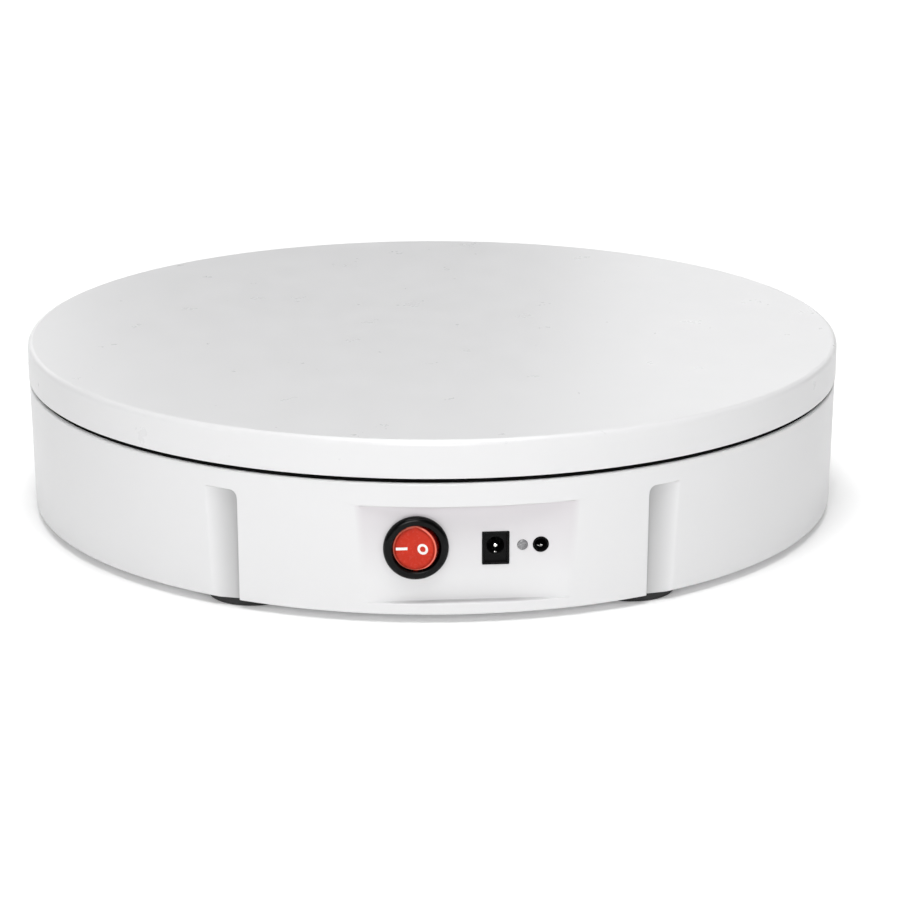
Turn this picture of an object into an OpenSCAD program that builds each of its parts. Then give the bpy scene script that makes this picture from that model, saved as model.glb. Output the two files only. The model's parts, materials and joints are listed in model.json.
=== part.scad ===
// Motorised display turntable: a flat round platter that turns on a powered round base.
// +Z is up, the undersides of the feet are at z = 0, and the spin axis is x = y = 0.
// The front is -Y. Azimuths are degrees from the front, positive towards +X.

/* [Overall] */
// Diameter of the platter
platter_d = 320; // [318:1:324]
// Height of the platter's top face above the table
total_h = 67.5; // [67.5:0.5:70]

/* [Base] */
// Radius of the base wall at its top edge
base_top_r = 159.7; // [159.2:0.1:160]
// Radius of the base wall at its bottom rim
base_rim_r = 158.9; // [158.5:0.1:159.2]
// Height of the base wall's top edge
base_top_z = 51.8; // [51.5:0.1:52]
// Inner radius of the base wall
base_inner_r = 155.4; // [155.3:0.1:155.5]
// Thickness of the bottom cover
cover_t = 2.5; // [2:0.1:2.5]
// Rounding of the wall's top and bottom edges
base_edge_r = 0.8; // [0.5:0.1:1]

/* [Control panel] */
// Azimuth that the flat panel faces
panel_az = 3; // [0:0.5:4]
// Distance of the panel's face from the spin axis
panel_plane = 155; // [154.8:0.1:155.2]
// Lower edge of the panel
panel_z0 = 7.3; // [7:0.1:8]
// Upper edge of the panel
panel_z1 = 43; // [42:0.1:43]
// Thickness of the plastic behind the panel's face
panel_t = 2.7; // [2.5:0.1:2.8]

/* [Power switch] */
// Offset of the switch's centre along the panel
switch_t = -18.3; // [-19:0.1:-18]
// Height of the switch's centre
switch_z = 27.3; // [26:0.1:28]
// Radius of the bezel
bezel_r = 11.6; // [11.4:0.1:12]
// How far the bezel stands out of the panel
bezel_h = 2.4; // [2:0.1:2.6]
// Radius of the barrel behind the bezel
barrel_r = 10; // [9.8:0.1:10]
// Radius of the opening that the rocker moves in
rocker_hole_r = 8.65; // [8.65:0.05:8.8]
// Radius of the rocker's ball-shaped body
rocker_r = 8.4; // [8.2:0.1:8.4]
// Angle between the on and off positions
rocker_throw = 22; // [18:1:24]

/* [Sockets] */
// Offset of the power inlet along the panel
inlet_t = 9.9; // [9:0.1:10]
// Height of the power inlet's centre
inlet_z = 26.3; // [26:0.1:27]
// Width of the power inlet's face
inlet_w = 9.6; // [9:0.1:10]
// Height of the power inlet's face
inlet_h = 12.1; // [11.5:0.1:12.5]
// Offset of the receiver window along the panel
window_t = 19.5; // [19:0.1:20]
// Radius of the receiver window
window_r = 1.85; // [1.6:0.05:1.9]
// Offset of the trigger socket along the panel
trigger_t = 25.9; // [25.5:0.1:26.5]
// Height of the window's and the trigger socket's centres
small_parts_z = 27.2; // [27:0.1:27.5]
// Radius of the trigger socket's bushing
trigger_r = 2.8; // [2.6:0.1:2.9]
// Radius of the trigger socket's bore
trigger_bore_r = 1.8; // [1.76:0.01:1.85]

/* [Grips] */
// Azimuth of each grip's sharp edge, either side of the front
grip_az = 27.35; // [27:0.05:28]
// Width of each grip in degrees of azimuth
grip_sweep = 4.9; // [4:0.1:5]
// Depth of each grip at its sharp edge
grip_depth = 3.6; // [3:0.1:3.8]
// Height of the top of each grip
grip_top_z = 44.4; // [43:0.1:45]
// Radius of each grip's upper corner
grip_corner_r = 3; // [2:0.5:5]

/* [Feet] */
// How far the feet hold the rim above the table
foot_h = 3; // [2.5:0.1:3]
// Radius of a foot
foot_r = 17; // [15:0.5:17]
// Distance of the feet from the spin axis
foot_ring_r = 140; // [138:0.5:140]

/* [Platter] */
// Height of the platter's rim
skirt_h = 14; // [13.8:0.1:14.1]
// Thickness of the platter's disc
disc_t = 4; // [4:0.1:4.2]
// Thickness of the platter's skirt
skirt_t = 3; // [2.5:0.1:3]
// Rounding of the platter's top edge
platter_edge_r = 2; // [1:0.1:2.5]

/* [Drive] */
// Gear module
gear_module = 1.5; // [1.5]
// Teeth on the ring gear
ring_teeth = 108; // [108]
// Teeth on the drive pinion
pinion_teeth = 12; // [12]
// Backlash taken from each gear's teeth
backlash = 0.14; // [0.1:0.02:0.2]
// Side of the square motor
motor_w = 42; // [42]
// Length of the motor's body
motor_l = 34; // [32:1:34]

/* [Centre bearing] */
// Bore radius of the ball bearing
bearing_bore_r = 10; // [10]
// Outer radius of the ball bearing
bearing_outer_r = 21; // [21]
// Width of the ball bearing
bearing_w = 12; // [12]
// Number of balls
ball_count = 9; // [7:1:9]
// Radius of each ball
ball_r = 3.1; // [2.8:0.1:3.1]

/* [Support rollers] */
// Number of support rollers
roller_count = 6; // [6]
// Radius of a roller
roller_r = 8; // [7.5:0.1:8]
// Distance of the rollers from the spin axis
roller_ring_r = 140; // [139:0.5:140]

/* [Hidden] */
$fn = 96;
fit = 0.05;       // radial clearance of a running fit
slip = 0.2;       // clearance round a part dropped into a hole
rim_z = foot_h;
cover_top = rim_z + cover_t;
platter_r = platter_d / 2;
skirt_z = total_h - skirt_h;
disc_z = total_h - disc_t;

// Deck that carries the drive
deck_r = 152;
deck_z = 40.5;
deck_t = 2;
deck_top = deck_z + deck_t;
pillar_az = [-120, -60, -20, 20, 60, 120, 180];
pillar_ring_r = 148;
pillar_r = 4.5;

// Ledge inside the top edge and the dust ring on it
ledge_z = 50.2;
lip_r = 158.4;
dust_top = 52.6;
dust_inner_r = 153.5;
backing_r = 158;
grip_pad_r = 152.4;

// Screws: shank radius, clearance radius, pilot radius
m3 = 1.45;
m3_clear = 1.7;
m3_pilot = 1.5;
m3_head_r = 2.8;
m3_head_h = 1.9;

foot_az = [-150.8, -90, -29.2, 29.2, 90, 150.8];
foot_spigot_r = 4;
foot_spigot_h = 1.5;

// Gear train
ring_pitch_r = gear_module * ring_teeth / 2;
pinion_pitch_r = gear_module * pinion_teeth / 2;
motor_y = ring_pitch_r - pinion_pitch_r;
ring_tip_r = ring_pitch_r - 0.6 * gear_module;
ring_root_r = ring_pitch_r + 1.25 * gear_module;
ring_outer_r = ring_root_r + 4;
ring_flange_r = 95;
ring_screw_r = 91;
gear_z = 51;
pinion_z0 = 52;
pinion_z1 = disc_z - 1;
motor_shaft_r = 2.5;
motor_boss_r = 11;
motor_screw_pitch = 31;
motor_cap_h = 8;

// Centre bearing and spindle
bearing_z = 44.5;
bearing_top = bearing_z + bearing_w;
race_r = (bearing_bore_r + 4 + bearing_outer_r - 3.5) / 2;
inner_race_r = bearing_bore_r + 4;
outer_race_r = bearing_outer_r - 3.5;
housing_r = 26;
housing_flange_r = 36;
housing_screw_r = 31;
spindle_flange_r = 32;
spindle_screw_r = 24;
spindle_bottom = 38;
clip_z = 43.1;
clip_h = 1.2;
clip_groove = 0.8;

// Rollers
track_t = 2;
track_gap = 0.25;
track_z = disc_z - track_t;
roller_z = track_z - track_gap - roller_r;
roller_w = 12;
axle_r = 2;
first_roller_az = 30;
cheek_t = 1.5;
cheek_y = 7;
cheek_top = 57.5;

// Main circuit board
board_pos = [-72, 8];
board_size = [64, 44];
board_z = 11.5;
board_t = 1.6;
board_top = board_z + board_t;
board_hole_inset = 4;
plug_x = [-20, -10, 0, 10, 20];
plug_y = -17;

// Small circuit board behind the sockets
io_depth = 13;
io_t = 1.6;
io_t0 = -4;
io_t1 = 37;
io_z0 = 17;
io_z1 = 37;
io_boss_t = [-1, 34];
io_boss_z = 21;

// Trigger socket: a mouth that tapers to the bore, and the contact's groove
mouth_depth = panel_t + 0.2;
mouth_r = 2.3;
contact_z = -4;

// Rocker geometry, in the switch's own frame
pivot_out = -0.8;
valley = 2.2;
rocker_back = 3.5;
trunnion_r = 1;

BASE_NODES = [
    "base_shell", "bottom_cover", "cover_screws", "rubber_feet", "chassis_deck", "deck_screws",
    "dust_ring", "bearing_housing", "housing_screws", "bearing_outer_race", "roller_brackets",
    "bracket_screws", "roller_axles", "motor_stator", "motor_front_cap", "motor_rear_cap",
    "motor_screws", "motor_socket", "main_board", "board_screws", "board_chips",
    "board_capacitors", "board_plugs", "heat_sink", "io_board", "io_board_screws",
    "power_inlet", "inlet_pin", "receiver_window", "receiver_chip", "trigger_socket",
    "trigger_contact", "switch_housing", "switch_terminals", "switch_leads", "power_leads",
    "signal_leads", "motor_leads"
];
MOVING_NODES = [
    "platter", "track_ring", "ring_gear", "gear_screws", "spindle", "spindle_screws",
    "bearing_inner_race", "retaining_clip", "bearing_cage", "bearing_balls",
    "motor_shaft", "drive_pinion", "switch_rocker", "rocker_marks"
];
ROLLER_NODES = [for (i = [1:roller_count]) str("roller_", i)];

// ---------- Helpers ----------

// A point at a radius and an azimuth.
function polar(r, az) = [r * sin(az), -r * cos(az)];

// Points of an arc about c, from angle a0 to a1 in n steps.
function arc(c, r, a0, a1, n = 6) =
    [for (i = [0:n]) c + r * [cos(a0 + (a1 - a0) * i / n), sin(a0 + (a1 - a0) * i / n)]];

// A point given in the panel's frame: along it, its height, and how far out of it.
function panel_point(t, z, out) =
    let (d = panel_plane + out)
    [t * cos(panel_az) + d * sin(panel_az), t * sin(panel_az) - d * cos(panel_az), z];

module at_azimuth(az, r, z = 0) {
    rotate([0, 0, az]) translate([0, -r, z]) children();
}

// Children are drawn with x along the panel, y up and z out of it.
module on_panel(t, z, out = 0) {
    rotate([0, 0, panel_az])
        translate([t, -panel_plane - out, z])
            rotate([90, 0, 0]) children();
}

module disc(r, z0, z1) {
    translate([0, 0, z0]) cylinder(r = r, h = z1 - z0);
}

module ring(r_out, r_in, z0, z1) {
    difference() {
        disc(r_out, z0, z1);
        disc(r_in, z0 - 1, z1 + 1);
    }
}

// A block centred in x and y.
module block(w, d, z0, z1) {
    translate([-w / 2, -d / 2, z0]) cube([w, d, z1 - z0]);
}

// A pan-head screw: the head's underside is at z = 0 and the shank points down.
module screw(r, length, head_r, head_h) {
    difference() {
        union() {
            disc(r, -length, 0.5);
            disc(head_r, 0, head_h);
        }
        block(head_r * 1.3, 0.7, head_h - 1, head_h + 1);
        block(0.7, head_r * 1.3, head_h - 1, head_h + 1);
    }
}

module m3_screw(length) {
    screw(m3, length, m3_head_r, m3_head_h);
}

// ---------- Gears ----------

// Involute angle at radius r for base radius rb.
function involute(r, rb) =
    let (a = acos(min(1, rb / r))) tan(a) * 180 / PI - a;

// Half the angle that a tooth of pitch thickness s spans at radius r.
function tooth_half_angle(r, teeth, s) =
    let (pitch_r = gear_module * teeth / 2, rb = pitch_r * cos(20))
    s / (gear_module * teeth) * 180 / PI + involute(pitch_r, rb) - involute(max(r, rb), rb);

// Outline of a gear whose teeth run from radius low to radius high.
function gear_outline(teeth, low, high, s, steps) = [
    for (i = [0:teeth - 1])
        for (k = [0:2 * steps + 1])
            let (
                rising = k <= steps,
                r = low + (high - low) * (rising ? k : 2 * steps + 1 - k) / steps,
                a = i * 360 / teeth + (rising ? -1 : 1) * tooth_half_angle(r, teeth, s)
            )
            r * [cos(a), sin(a)]
];

// ---------- Base ----------

module wall_profile() {
    e = base_edge_r;
    polygon(concat(
        [[base_inner_r, rim_z]],
        arc([base_rim_r - e, rim_z + e], e, -90, 0),
        arc([base_top_r - e, base_top_z - e], e, 0, 90),
        [[lip_r, base_top_z], [lip_r, ledge_z], [base_inner_r, ledge_z]]
    ));
}

// The wedge-shaped scoop of one grip: side is 1 on the right and -1 on the left.
module grip_cut(side) {
    floor_pt = polar(base_top_r - grip_depth, side * grip_az);
    fade_pt = polar(base_top_r, side * (grip_az + grip_sweep));
    beyond = floor_pt + 1.6 * (fade_pt - floor_pt);
    w = 2 * base_top_r * sin(grip_sweep);
    intersection() {
        linear_extrude(height = 2 * grip_top_z, center = true)
            polygon([floor_pt, beyond, polar(1.1 * base_top_r, side * grip_az)]);
        at_azimuth(side * grip_az, base_top_r)
            rotate([90, 0, 0])
                linear_extrude(height = 40, center = true)
                    mirror([side < 0 ? 1 : 0, 0])
                        union() {
                            translate([-1, -1]) square([w, grip_top_z - grip_corner_r + 1]);
                            translate([grip_corner_r - 1, -1]) square([w, grip_top_z + 1]);
                            translate([grip_corner_r - 1, grip_top_z - grip_corner_r])
                                circle(r = grip_corner_r);
                        }
    }
}

// Plastic that thickens the wall behind the panel and the grips.
module wall_backing() {
    intersection() {
        disc(backing_r, cover_top, panel_z1 + 3);
        on_panel(0, 0, -panel_t) translate([-42, 0, 0]) cube([84, 60, 20]);
    }
    for (side = [-1, 1])
        rotate([0, 0, side * (grip_az + grip_sweep / 2) - 95])
            rotate_extrude(angle = 10)
                translate([grip_pad_r, cover_top])
                    square([backing_r - grip_pad_r, grip_top_z + 2 - cover_top]);
}

module pillars() {
    for (az = pillar_az)
        at_azimuth(az, pillar_ring_r) {
            disc(pillar_r, cover_top, deck_z);
            translate([-1.5, -9, cover_top]) cube([3, 9, deck_z - cover_top]);
        }
}

module panel_holes() {
    on_panel(switch_t, switch_z) disc(barrel_r + slip / 2, -20, 5);
    on_panel(inlet_t, inlet_z) block(inlet_w + slip, inlet_h + slip, -20, 5);
    on_panel(window_t, small_parts_z) disc(window_r + slip / 2, -20, 5);
    on_panel(trigger_t, small_parts_z) disc(trigger_r + slip / 2, -20, 5);
}

module base_shell() color("white") difference() {
    union() {
        rotate_extrude() wall_profile();
        wall_backing();
        pillars();
        for (t = io_boss_t) on_panel(t, io_boss_z) disc(2.5, -io_depth, -panel_t + 0.5);
    }
    on_panel(0, panel_z0) translate([-60, 0, 0]) cube([120, panel_z1 - panel_z0, 20]);
    panel_holes();
    for (side = [-1, 1]) grip_cut(side);
    for (az = pillar_az)
        at_azimuth(az, pillar_ring_r) {
            disc(m3_pilot, cover_top - 1, cover_top + 10);
            disc(m3_pilot, deck_z - 10, deck_z + 1);
        }
    for (t = io_boss_t) on_panel(t, io_boss_z) disc(1.05, -io_depth - 1, -io_depth + 7);
}

module bottom_cover() color("gainsboro") difference() {
    union() {
        disc(base_inner_r - slip, rim_z, cover_top);
        for (x = [-1, 1], y = [-1, 1])
            translate([
                board_pos.x + x * (board_size.x / 2 - board_hole_inset),
                board_pos.y + y * (board_size.y / 2 - board_hole_inset), 0
            ]) disc(3.2, cover_top - 1, board_z);
        ring(110, 107.5, cover_top - 0.5, cover_top + 3);
    }
    for (side = [-1, 1]) grip_cut(side);
    for (az = pillar_az)
        at_azimuth(az, pillar_ring_r) {
            disc(m3_clear, rim_z - 1, cover_top + 1);
            disc(m3_head_r + 0.6, rim_z - 1, rim_z + 1.1);
        }
    for (az = foot_az)
        at_azimuth(az, foot_ring_r) disc(foot_spigot_r + fit, rim_z - 1, rim_z + foot_spigot_h + 0.1);
    for (x = [-1, 1], y = [-1, 1])
        translate([
            board_pos.x + x * (board_size.x / 2 - board_hole_inset),
            board_pos.y + y * (board_size.y / 2 - board_hole_inset), 0
        ]) disc(1.05, board_z - 5, board_z + 1);
    for (i = [-4:4])
        translate([board_pos.x + 6 * i, board_pos.y, 0]) block(2.2, 26, rim_z - 1, cover_top + 1);
}

module cover_screws() color("silver") {
    for (az = pillar_az)
        at_azimuth(az, pillar_ring_r, rim_z + 1.1) mirror([0, 0, 1])
            screw(m3, 9, m3_head_r, 1);
}

module rubber_feet() color("black") {
    for (az = foot_az)
        at_azimuth(az, foot_ring_r) {
            rotate_extrude()
                polygon(concat(
                    [[0, 0]], arc([foot_r - 0.8, 0.8], 0.8, -90, 0), [[foot_r, foot_h], [0, foot_h]]
                ));
            disc(foot_spigot_r, foot_h - 0.5, foot_h + foot_spigot_h);
        }
}

module dust_ring() color("black") {
    ring(lip_r - slip / 2, dust_inner_r, ledge_z, dust_top);
}

// ---------- Deck ----------

module at_motor_screws() {
    for (x = [-1, 1], y = [-1, 1])
        translate([x * motor_screw_pitch / 2, motor_y + y * motor_screw_pitch / 2, 0]) children();
}

module at_housing_screws() {
    for (az = [45:90:315]) at_azimuth(az, housing_screw_r) children();
}

module at_rollers() {
    for (i = [0:roller_count - 1])
        at_azimuth(first_roller_az + i * 360 / roller_count, roller_ring_r) children();
}

module at_bracket_screws() {
    at_rollers() for (x = [-12, 12]) translate([x, 0, 0]) children();
}

module chassis_deck() color("dimgray") difference() {
    union() {
        disc(deck_r, deck_z, deck_top);
        ring(118, 115, deck_top - 0.5, deck_top + 3);
        ring(54, 51, deck_z - 4, deck_z + 0.5);
    }
    disc(17.2, deck_z - 5, deck_top + 1);
    translate([0, motor_y, 0]) {
        disc(motor_boss_r + slip, deck_z - 5, deck_top + 1);
        block(motor_w + 2, motor_w + 2, deck_z - 10, deck_z);
    }
    at_motor_screws() disc(m3_clear, deck_z - 1, deck_top + 1);
    at_housing_screws() disc(m3_pilot, deck_z - 1, deck_top + 1);
    at_bracket_screws() disc(m3_pilot, deck_z - 1, deck_top + 1);
    for (az = pillar_az) at_azimuth(az, pillar_ring_r) disc(m3_clear, deck_z - 1, deck_top + 1);
    for (az = [-100, 100]) at_azimuth(az, 70) disc(9, deck_z - 1, deck_top + 1);
}

module deck_screws() color("silver") {
    for (az = pillar_az) at_azimuth(az, pillar_ring_r, deck_top) m3_screw(9);
}

module bearing_housing() color("darkgray") difference() {
    union() {
        disc(housing_flange_r, deck_top, deck_top + 3.5);
        disc(housing_r, deck_top, bearing_top + 0.5);
        for (az = [0:90:270])
            at_azimuth(az, 0) translate([-1.5, -34, deck_top]) cube([3, 10, 9]);
    }
    disc(16, deck_top - 1, bearing_top);
    disc(bearing_outer_r + 0.02, bearing_z, bearing_top + 1);
    at_housing_screws() disc(m3_clear, deck_top - 1, deck_top + 5);
}

module housing_screws() color("silver") {
    at_housing_screws() translate([0, 0, deck_top + 3.5]) m3_screw(5.5);
}

module ball_groove() {
    translate([0, 0, bearing_z + bearing_w / 2])
        rotate_extrude() translate([race_r, 0]) circle(r = ball_r + fit);
}

module bearing_outer_race() color("lightsteelblue") difference() {
    ring(bearing_outer_r, outer_race_r, bearing_z, bearing_top);
    ball_groove();
}

module roller_brackets() color("lightgray") at_rollers() difference() {
    union() {
        block(31, 2 * (cheek_y + cheek_t), deck_top, deck_top + cheek_t);
        for (side = [-1, 1])
            translate([0, side * (cheek_y + cheek_t / 2), 0]) {
                block(14, cheek_t, deck_top, cheek_top - 7);
                translate([0, 0, cheek_top - 7]) rotate([90, 0, 0])
                    cylinder(r = 7, h = cheek_t, center = true);
            }
    }
    translate([0, 0, roller_z]) rotate([90, 0, 0]) cylinder(r = axle_r + 0.02, h = 30, center = true);
    for (x = [-12, 12]) translate([x, 0, 0]) disc(m3_clear, deck_top - 1, deck_top + 3);
}

module bracket_screws() color("silver") {
    at_bracket_screws() translate([0, 0, deck_top + cheek_t]) m3_screw(3.5);
}

module roller_axles() color("silver") {
    at_rollers() translate([0, 0, roller_z]) rotate([90, 0, 0]) {
        cylinder(r = axle_r, h = 2 * (cheek_y + cheek_t) + 1, center = true);
        for (side = [-1, 1])
            translate([0, 0, side * (cheek_y + cheek_t + 0.6)]) cylinder(r = 3, h = 0.9, center = true);
    }
}

// ---------- Motor ----------

module motor_plate(z0, z1) {
    translate([0, motor_y, 0]) intersection() {
        block(motor_w, motor_w, z0, z1);
        rotate([0, 0, 45]) block(54, 54, z0, z1);
    }
}

module motor_stator() color("dimgray") difference() {
    translate([0, motor_y, 0]) intersection() {
        block(motor_w, motor_w, deck_z - motor_l + motor_cap_h, deck_z - motor_cap_h);
        rotate([0, 0, 45]) block(50, 50, deck_z - motor_l, deck_z);
    }
    translate([0, motor_y, 0]) disc(13, 0, deck_z);
}

module motor_front_cap() color("silver") difference() {
    union() {
        motor_plate(deck_z - motor_cap_h, deck_z);
        translate([0, motor_y, 0]) disc(motor_boss_r, deck_z - 1, deck_top);
    }
    translate([0, motor_y, 0]) disc(motor_shaft_r + 0.5, 0, deck_top + 1);
    translate([0, motor_y, 0]) disc(13, 0, deck_z - 4);
    at_motor_screws() disc(m3_pilot, deck_z - 5, deck_z + 1);
}

module motor_rear_cap() color("silver") difference() {
    motor_plate(deck_z - motor_l, deck_z - motor_l + motor_cap_h);
    translate([0, motor_y, 0]) disc(13, deck_z - motor_l + 3, deck_z);
}

module motor_screws() color("silver") {
    at_motor_screws() translate([0, 0, deck_top]) m3_screw(6);
}

module motor_socket() color("white") difference() {
    translate([-motor_w / 2 - 5, motor_y, 0]) block(10, 16, deck_z - motor_l + 1, deck_z - motor_l + 7);
    motor_plate(deck_z - motor_l - 1, deck_z);
    translate([-motor_w / 2 - 8, motor_y, 0]) block(8, 13, deck_z - motor_l + 2.5, deck_z - motor_l + 5.5);
}

module motor_shaft() color("silver") {
    translate([0, motor_y, 0]) {
        disc(motor_shaft_r, deck_z - motor_l + 3.3, pinion_z1);
        disc(11.5, deck_z - motor_l + motor_cap_h, deck_z - motor_cap_h - 1);
    }
}

module drive_pinion() color("ivory") translate([0, motor_y, 0]) difference() {
    union() {
        rotate([0, 0, 90])
            translate([0, 0, pinion_z0])
                linear_extrude(height = pinion_z1 - pinion_z0)
                    polygon(gear_outline(
                        pinion_teeth, pinion_pitch_r - 0.8 * gear_module,
                        pinion_pitch_r + gear_module, PI * gear_module / 2 - backlash, 5
                    ));
        disc(7, pinion_z0 - 6, pinion_z0 + 0.5);
    }
    disc(motor_shaft_r + 0.02, 0, pinion_z1 + 1);
}

// ---------- Platter ----------

module platter_profile() {
    e = platter_edge_r;
    polygon(concat(
        [[0, disc_z], [platter_r - skirt_t, disc_z], [platter_r - skirt_t, skirt_z]],
        [[platter_r - 0.4, skirt_z], [platter_r, skirt_z + 0.4]],
        arc([platter_r - e, total_h - e], e, 0, 90),
        [[0, total_h]]
    ));
}

module platter() color("white") difference() {
    union() {
        rotate_extrude() platter_profile();
        for (i = [0:11])
            rotate([0, 0, 30 * i + 15]) translate([97, -1.2, disc_z - 3.5]) cube([33, 2.4, 4]);
    }
    for (az = [30:60:330]) at_azimuth(az, ring_screw_r) disc(m3_pilot, disc_z - 1, disc_z + 2.6);
    for (az = [0:90:270]) at_azimuth(az, spindle_screw_r) disc(m3_pilot, disc_z - 1, disc_z + 2.6);
}

module track_ring() color("silver") {
    ring(148, 132, track_z, disc_z);
}

module ring_gear() color("ivory") difference() {
    union() {
        disc(ring_outer_r, gear_z, disc_z);
        disc(ring_flange_r, disc_z - 2.5, disc_z);
    }
    translate([0, 0, gear_z - 1])
        linear_extrude(height = disc_z - gear_z + 2)
            polygon(gear_outline(
                ring_teeth, ring_tip_r, ring_root_r, PI * gear_module / 2 + backlash, 3
            ));
    for (az = [30:60:330]) at_azimuth(az, ring_screw_r) disc(m3_clear, gear_z, disc_z + 1);
}

module gear_screws() color("silver") {
    for (az = [30:60:330])
        at_azimuth(az, ring_screw_r, disc_z - 2.5) mirror([0, 0, 1]) m3_screw(4.8);
}

module spindle() color("silver") difference() {
    union() {
        disc(spindle_flange_r, bearing_top + 4, disc_z);
        disc(13, bearing_top, bearing_top + 5);
        disc(bearing_bore_r - 0.02, spindle_bottom, bearing_top + 1);
    }
    for (az = [0:90:270]) at_azimuth(az, spindle_screw_r) disc(m3_clear, bearing_top, disc_z + 1);
    ring(bearing_bore_r + 1, bearing_bore_r - clip_groove, clip_z, clip_z + clip_h + 0.1);
}

module spindle_screws() color("silver") {
    for (az = [0:90:270])
        at_azimuth(az, spindle_screw_r, bearing_top + 4) mirror([0, 0, 1]) m3_screw(5);
}

module bearing_inner_race() color("lightsteelblue") difference() {
    ring(inner_race_r, bearing_bore_r, bearing_z, bearing_top);
    ball_groove();
}

module retaining_clip() color("dimgray") difference() {
    ring(12.6, bearing_bore_r - clip_groove + 0.02, clip_z + 0.05, clip_z + clip_h);
    translate([-2, 0, clip_z - 1]) cube([4, 20, clip_h + 2]);
}

module at_balls() {
    for (i = [0:ball_count - 1])
        rotate([0, 0, i * 360 / ball_count])
            translate([race_r, 0, bearing_z + bearing_w / 2]) children();
}

module bearing_cage() color("peru") difference() {
    ring(race_r + 1.1, race_r - 1.1, bearing_z + 1.4, bearing_top - 1.4);
    at_balls() sphere(r = ball_r + fit);
}

module bearing_balls() color("silver") at_balls() sphere(r = ball_r);

module roller(i) color("darkslategray")
    at_azimuth(first_roller_az + (i - 1) * 360 / roller_count, roller_ring_r)
        translate([0, 0, roller_z]) rotate([90, 0, 0])
            rotate_extrude()
                polygon([
                    [axle_r + 0.08, -roller_w / 2], [4.5, -roller_w / 2], [4.5, -roller_w / 2 + 1.5],
                    [6, -roller_w / 2 + 1.5], [6, -roller_w / 2], [roller_r - 0.6, -roller_w / 2],
                    [roller_r, -roller_w / 2 + 0.6], [roller_r, roller_w / 2 - 0.6],
                    [roller_r - 0.6, roller_w / 2], [6, roller_w / 2], [6, roller_w / 2 - 1.5],
                    [4.5, roller_w / 2 - 1.5], [4.5, roller_w / 2], [axle_r + 0.08, roller_w / 2]
                ]);

// ---------- Circuit boards ----------

module on_board(x, y, z = board_top) {
    translate([board_pos.x + x, board_pos.y + y, z]) children();
}

module at_board_holes() {
    for (x = [-1, 1], y = [-1, 1])
        on_board(
            x * (board_size.x / 2 - board_hole_inset), y * (board_size.y / 2 - board_hole_inset), 0
        ) children();
}

module main_board() color("seagreen") difference() {
    on_board(0, 0, 0) block(board_size.x, board_size.y, board_z, board_top);
    at_board_holes() disc(m3_clear, 0, board_top + 1);
}

module board_screws() color("silver") {
    at_board_holes() translate([0, 0, board_top]) screw(1, 5.5, 2.2, 1.5);
}

module board_chips() color("black") {
    on_board(-6, 2) block(12, 12, 0, 1.6);
    on_board(-20, 8) block(6, 9, 0, 1.5);
    on_board(4, -8) block(5, 5, 0, 1.2);
    on_board(-18, -7) block(9, 5, 0, 2);
}

module board_capacitors() color("midnightblue") {
    for (y = [-6, 5]) on_board(24, y) disc(4, 0, 12);
    on_board(12, -8) disc(2.6, 0, 8);
}

module board_plugs() color("white") {
    for (x = plug_x)
        on_board(x, plug_y) difference() {
            block(9, 7, 0, 7);
            translate([0, -2, 0]) block(7.2, 6, 1, 5.8);
        }
}

module heat_sink() color("gray") on_board(12, 10) {
    block(15, 15, 0, 3);
    for (i = [-3:3]) translate([2.2 * i, 0, 0]) block(0.9, 15, 2.5, 10);
}

module io_board() color("seagreen") difference() {
    on_panel((io_t0 + io_t1) / 2, (io_z0 + io_z1) / 2)
        block(io_t1 - io_t0, io_z1 - io_z0, -io_depth - io_t, -io_depth);
    for (t = io_boss_t) on_panel(t, io_boss_z) disc(1.3, -30, 5);
}

module io_board_screws() color("silver") {
    for (t = io_boss_t)
        on_panel(t, io_boss_z, -io_depth - io_t) mirror([0, 0, 1]) screw(1, 6, 2.2, 1.5);
}

// ---------- Panel parts ----------

module power_inlet() color("black") on_panel(inlet_t, inlet_z) difference() {
    block(inlet_w, inlet_h, -io_depth, 0.4);
    block(inlet_w - 1.4, inlet_h - 1.6, -1, 1);
    translate([0, 0.7, 0]) disc(3.1, -10, 1);
    translate([0, 0.7, 0]) disc(0.95, -io_depth - 1, 1);
}

module inlet_pin() color("silver") on_panel(inlet_t, inlet_z) translate([0, 0.7, 0]) {
    disc(0.9, -io_depth + 0.1, -1.8);
    translate([0, 0, -1.8]) sphere(r = 0.9);
}

module receiver_window() color("darkgray") on_panel(window_t, small_parts_z) {
    disc(window_r, -panel_t - 0.5, 0.1);
    disc(2.5, -panel_t - 1.5, -panel_t - 0.05);
    intersection() {
        translate([0, 0, 0.5 - 3.2]) sphere(r = 3.2);
        disc(window_r, 0, 1);
    }
}

module receiver_chip() color("black") on_panel(window_t, small_parts_z) {
    block(5.2, 6.4, -10, -6.2);
    intersection() {
        translate([0, 0, -6.2]) sphere(r = 1.8);
        block(5, 5, -7, -4);
    }
    for (x = [-1.6, 0, 1.6]) translate([x, -2.6, 0]) block(0.5, 0.5, -io_depth, -9.5);
}

module trigger_socket() color("black") on_panel(trigger_t, small_parts_z) difference() {
    union() {
        disc(trigger_r, -panel_t - 0.5, 0.3);
        block(6.4, 9, -io_depth, -panel_t - 0.05);
    }
    disc(trigger_bore_r, -io_depth + 1, 1);
    translate([0, 0, -mouth_depth])
        cylinder(r1 = trigger_bore_r, r2 = mouth_r, h = mouth_depth + 0.4);
    ring(2.3, trigger_bore_r - 0.1, contact_z - 0.5, contact_z + 0.5);
}

module trigger_contact() color("silver") on_panel(trigger_t, small_parts_z)
    ring(2.25, trigger_bore_r + 0.02, contact_z - 0.45, contact_z + 0.45);

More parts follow.
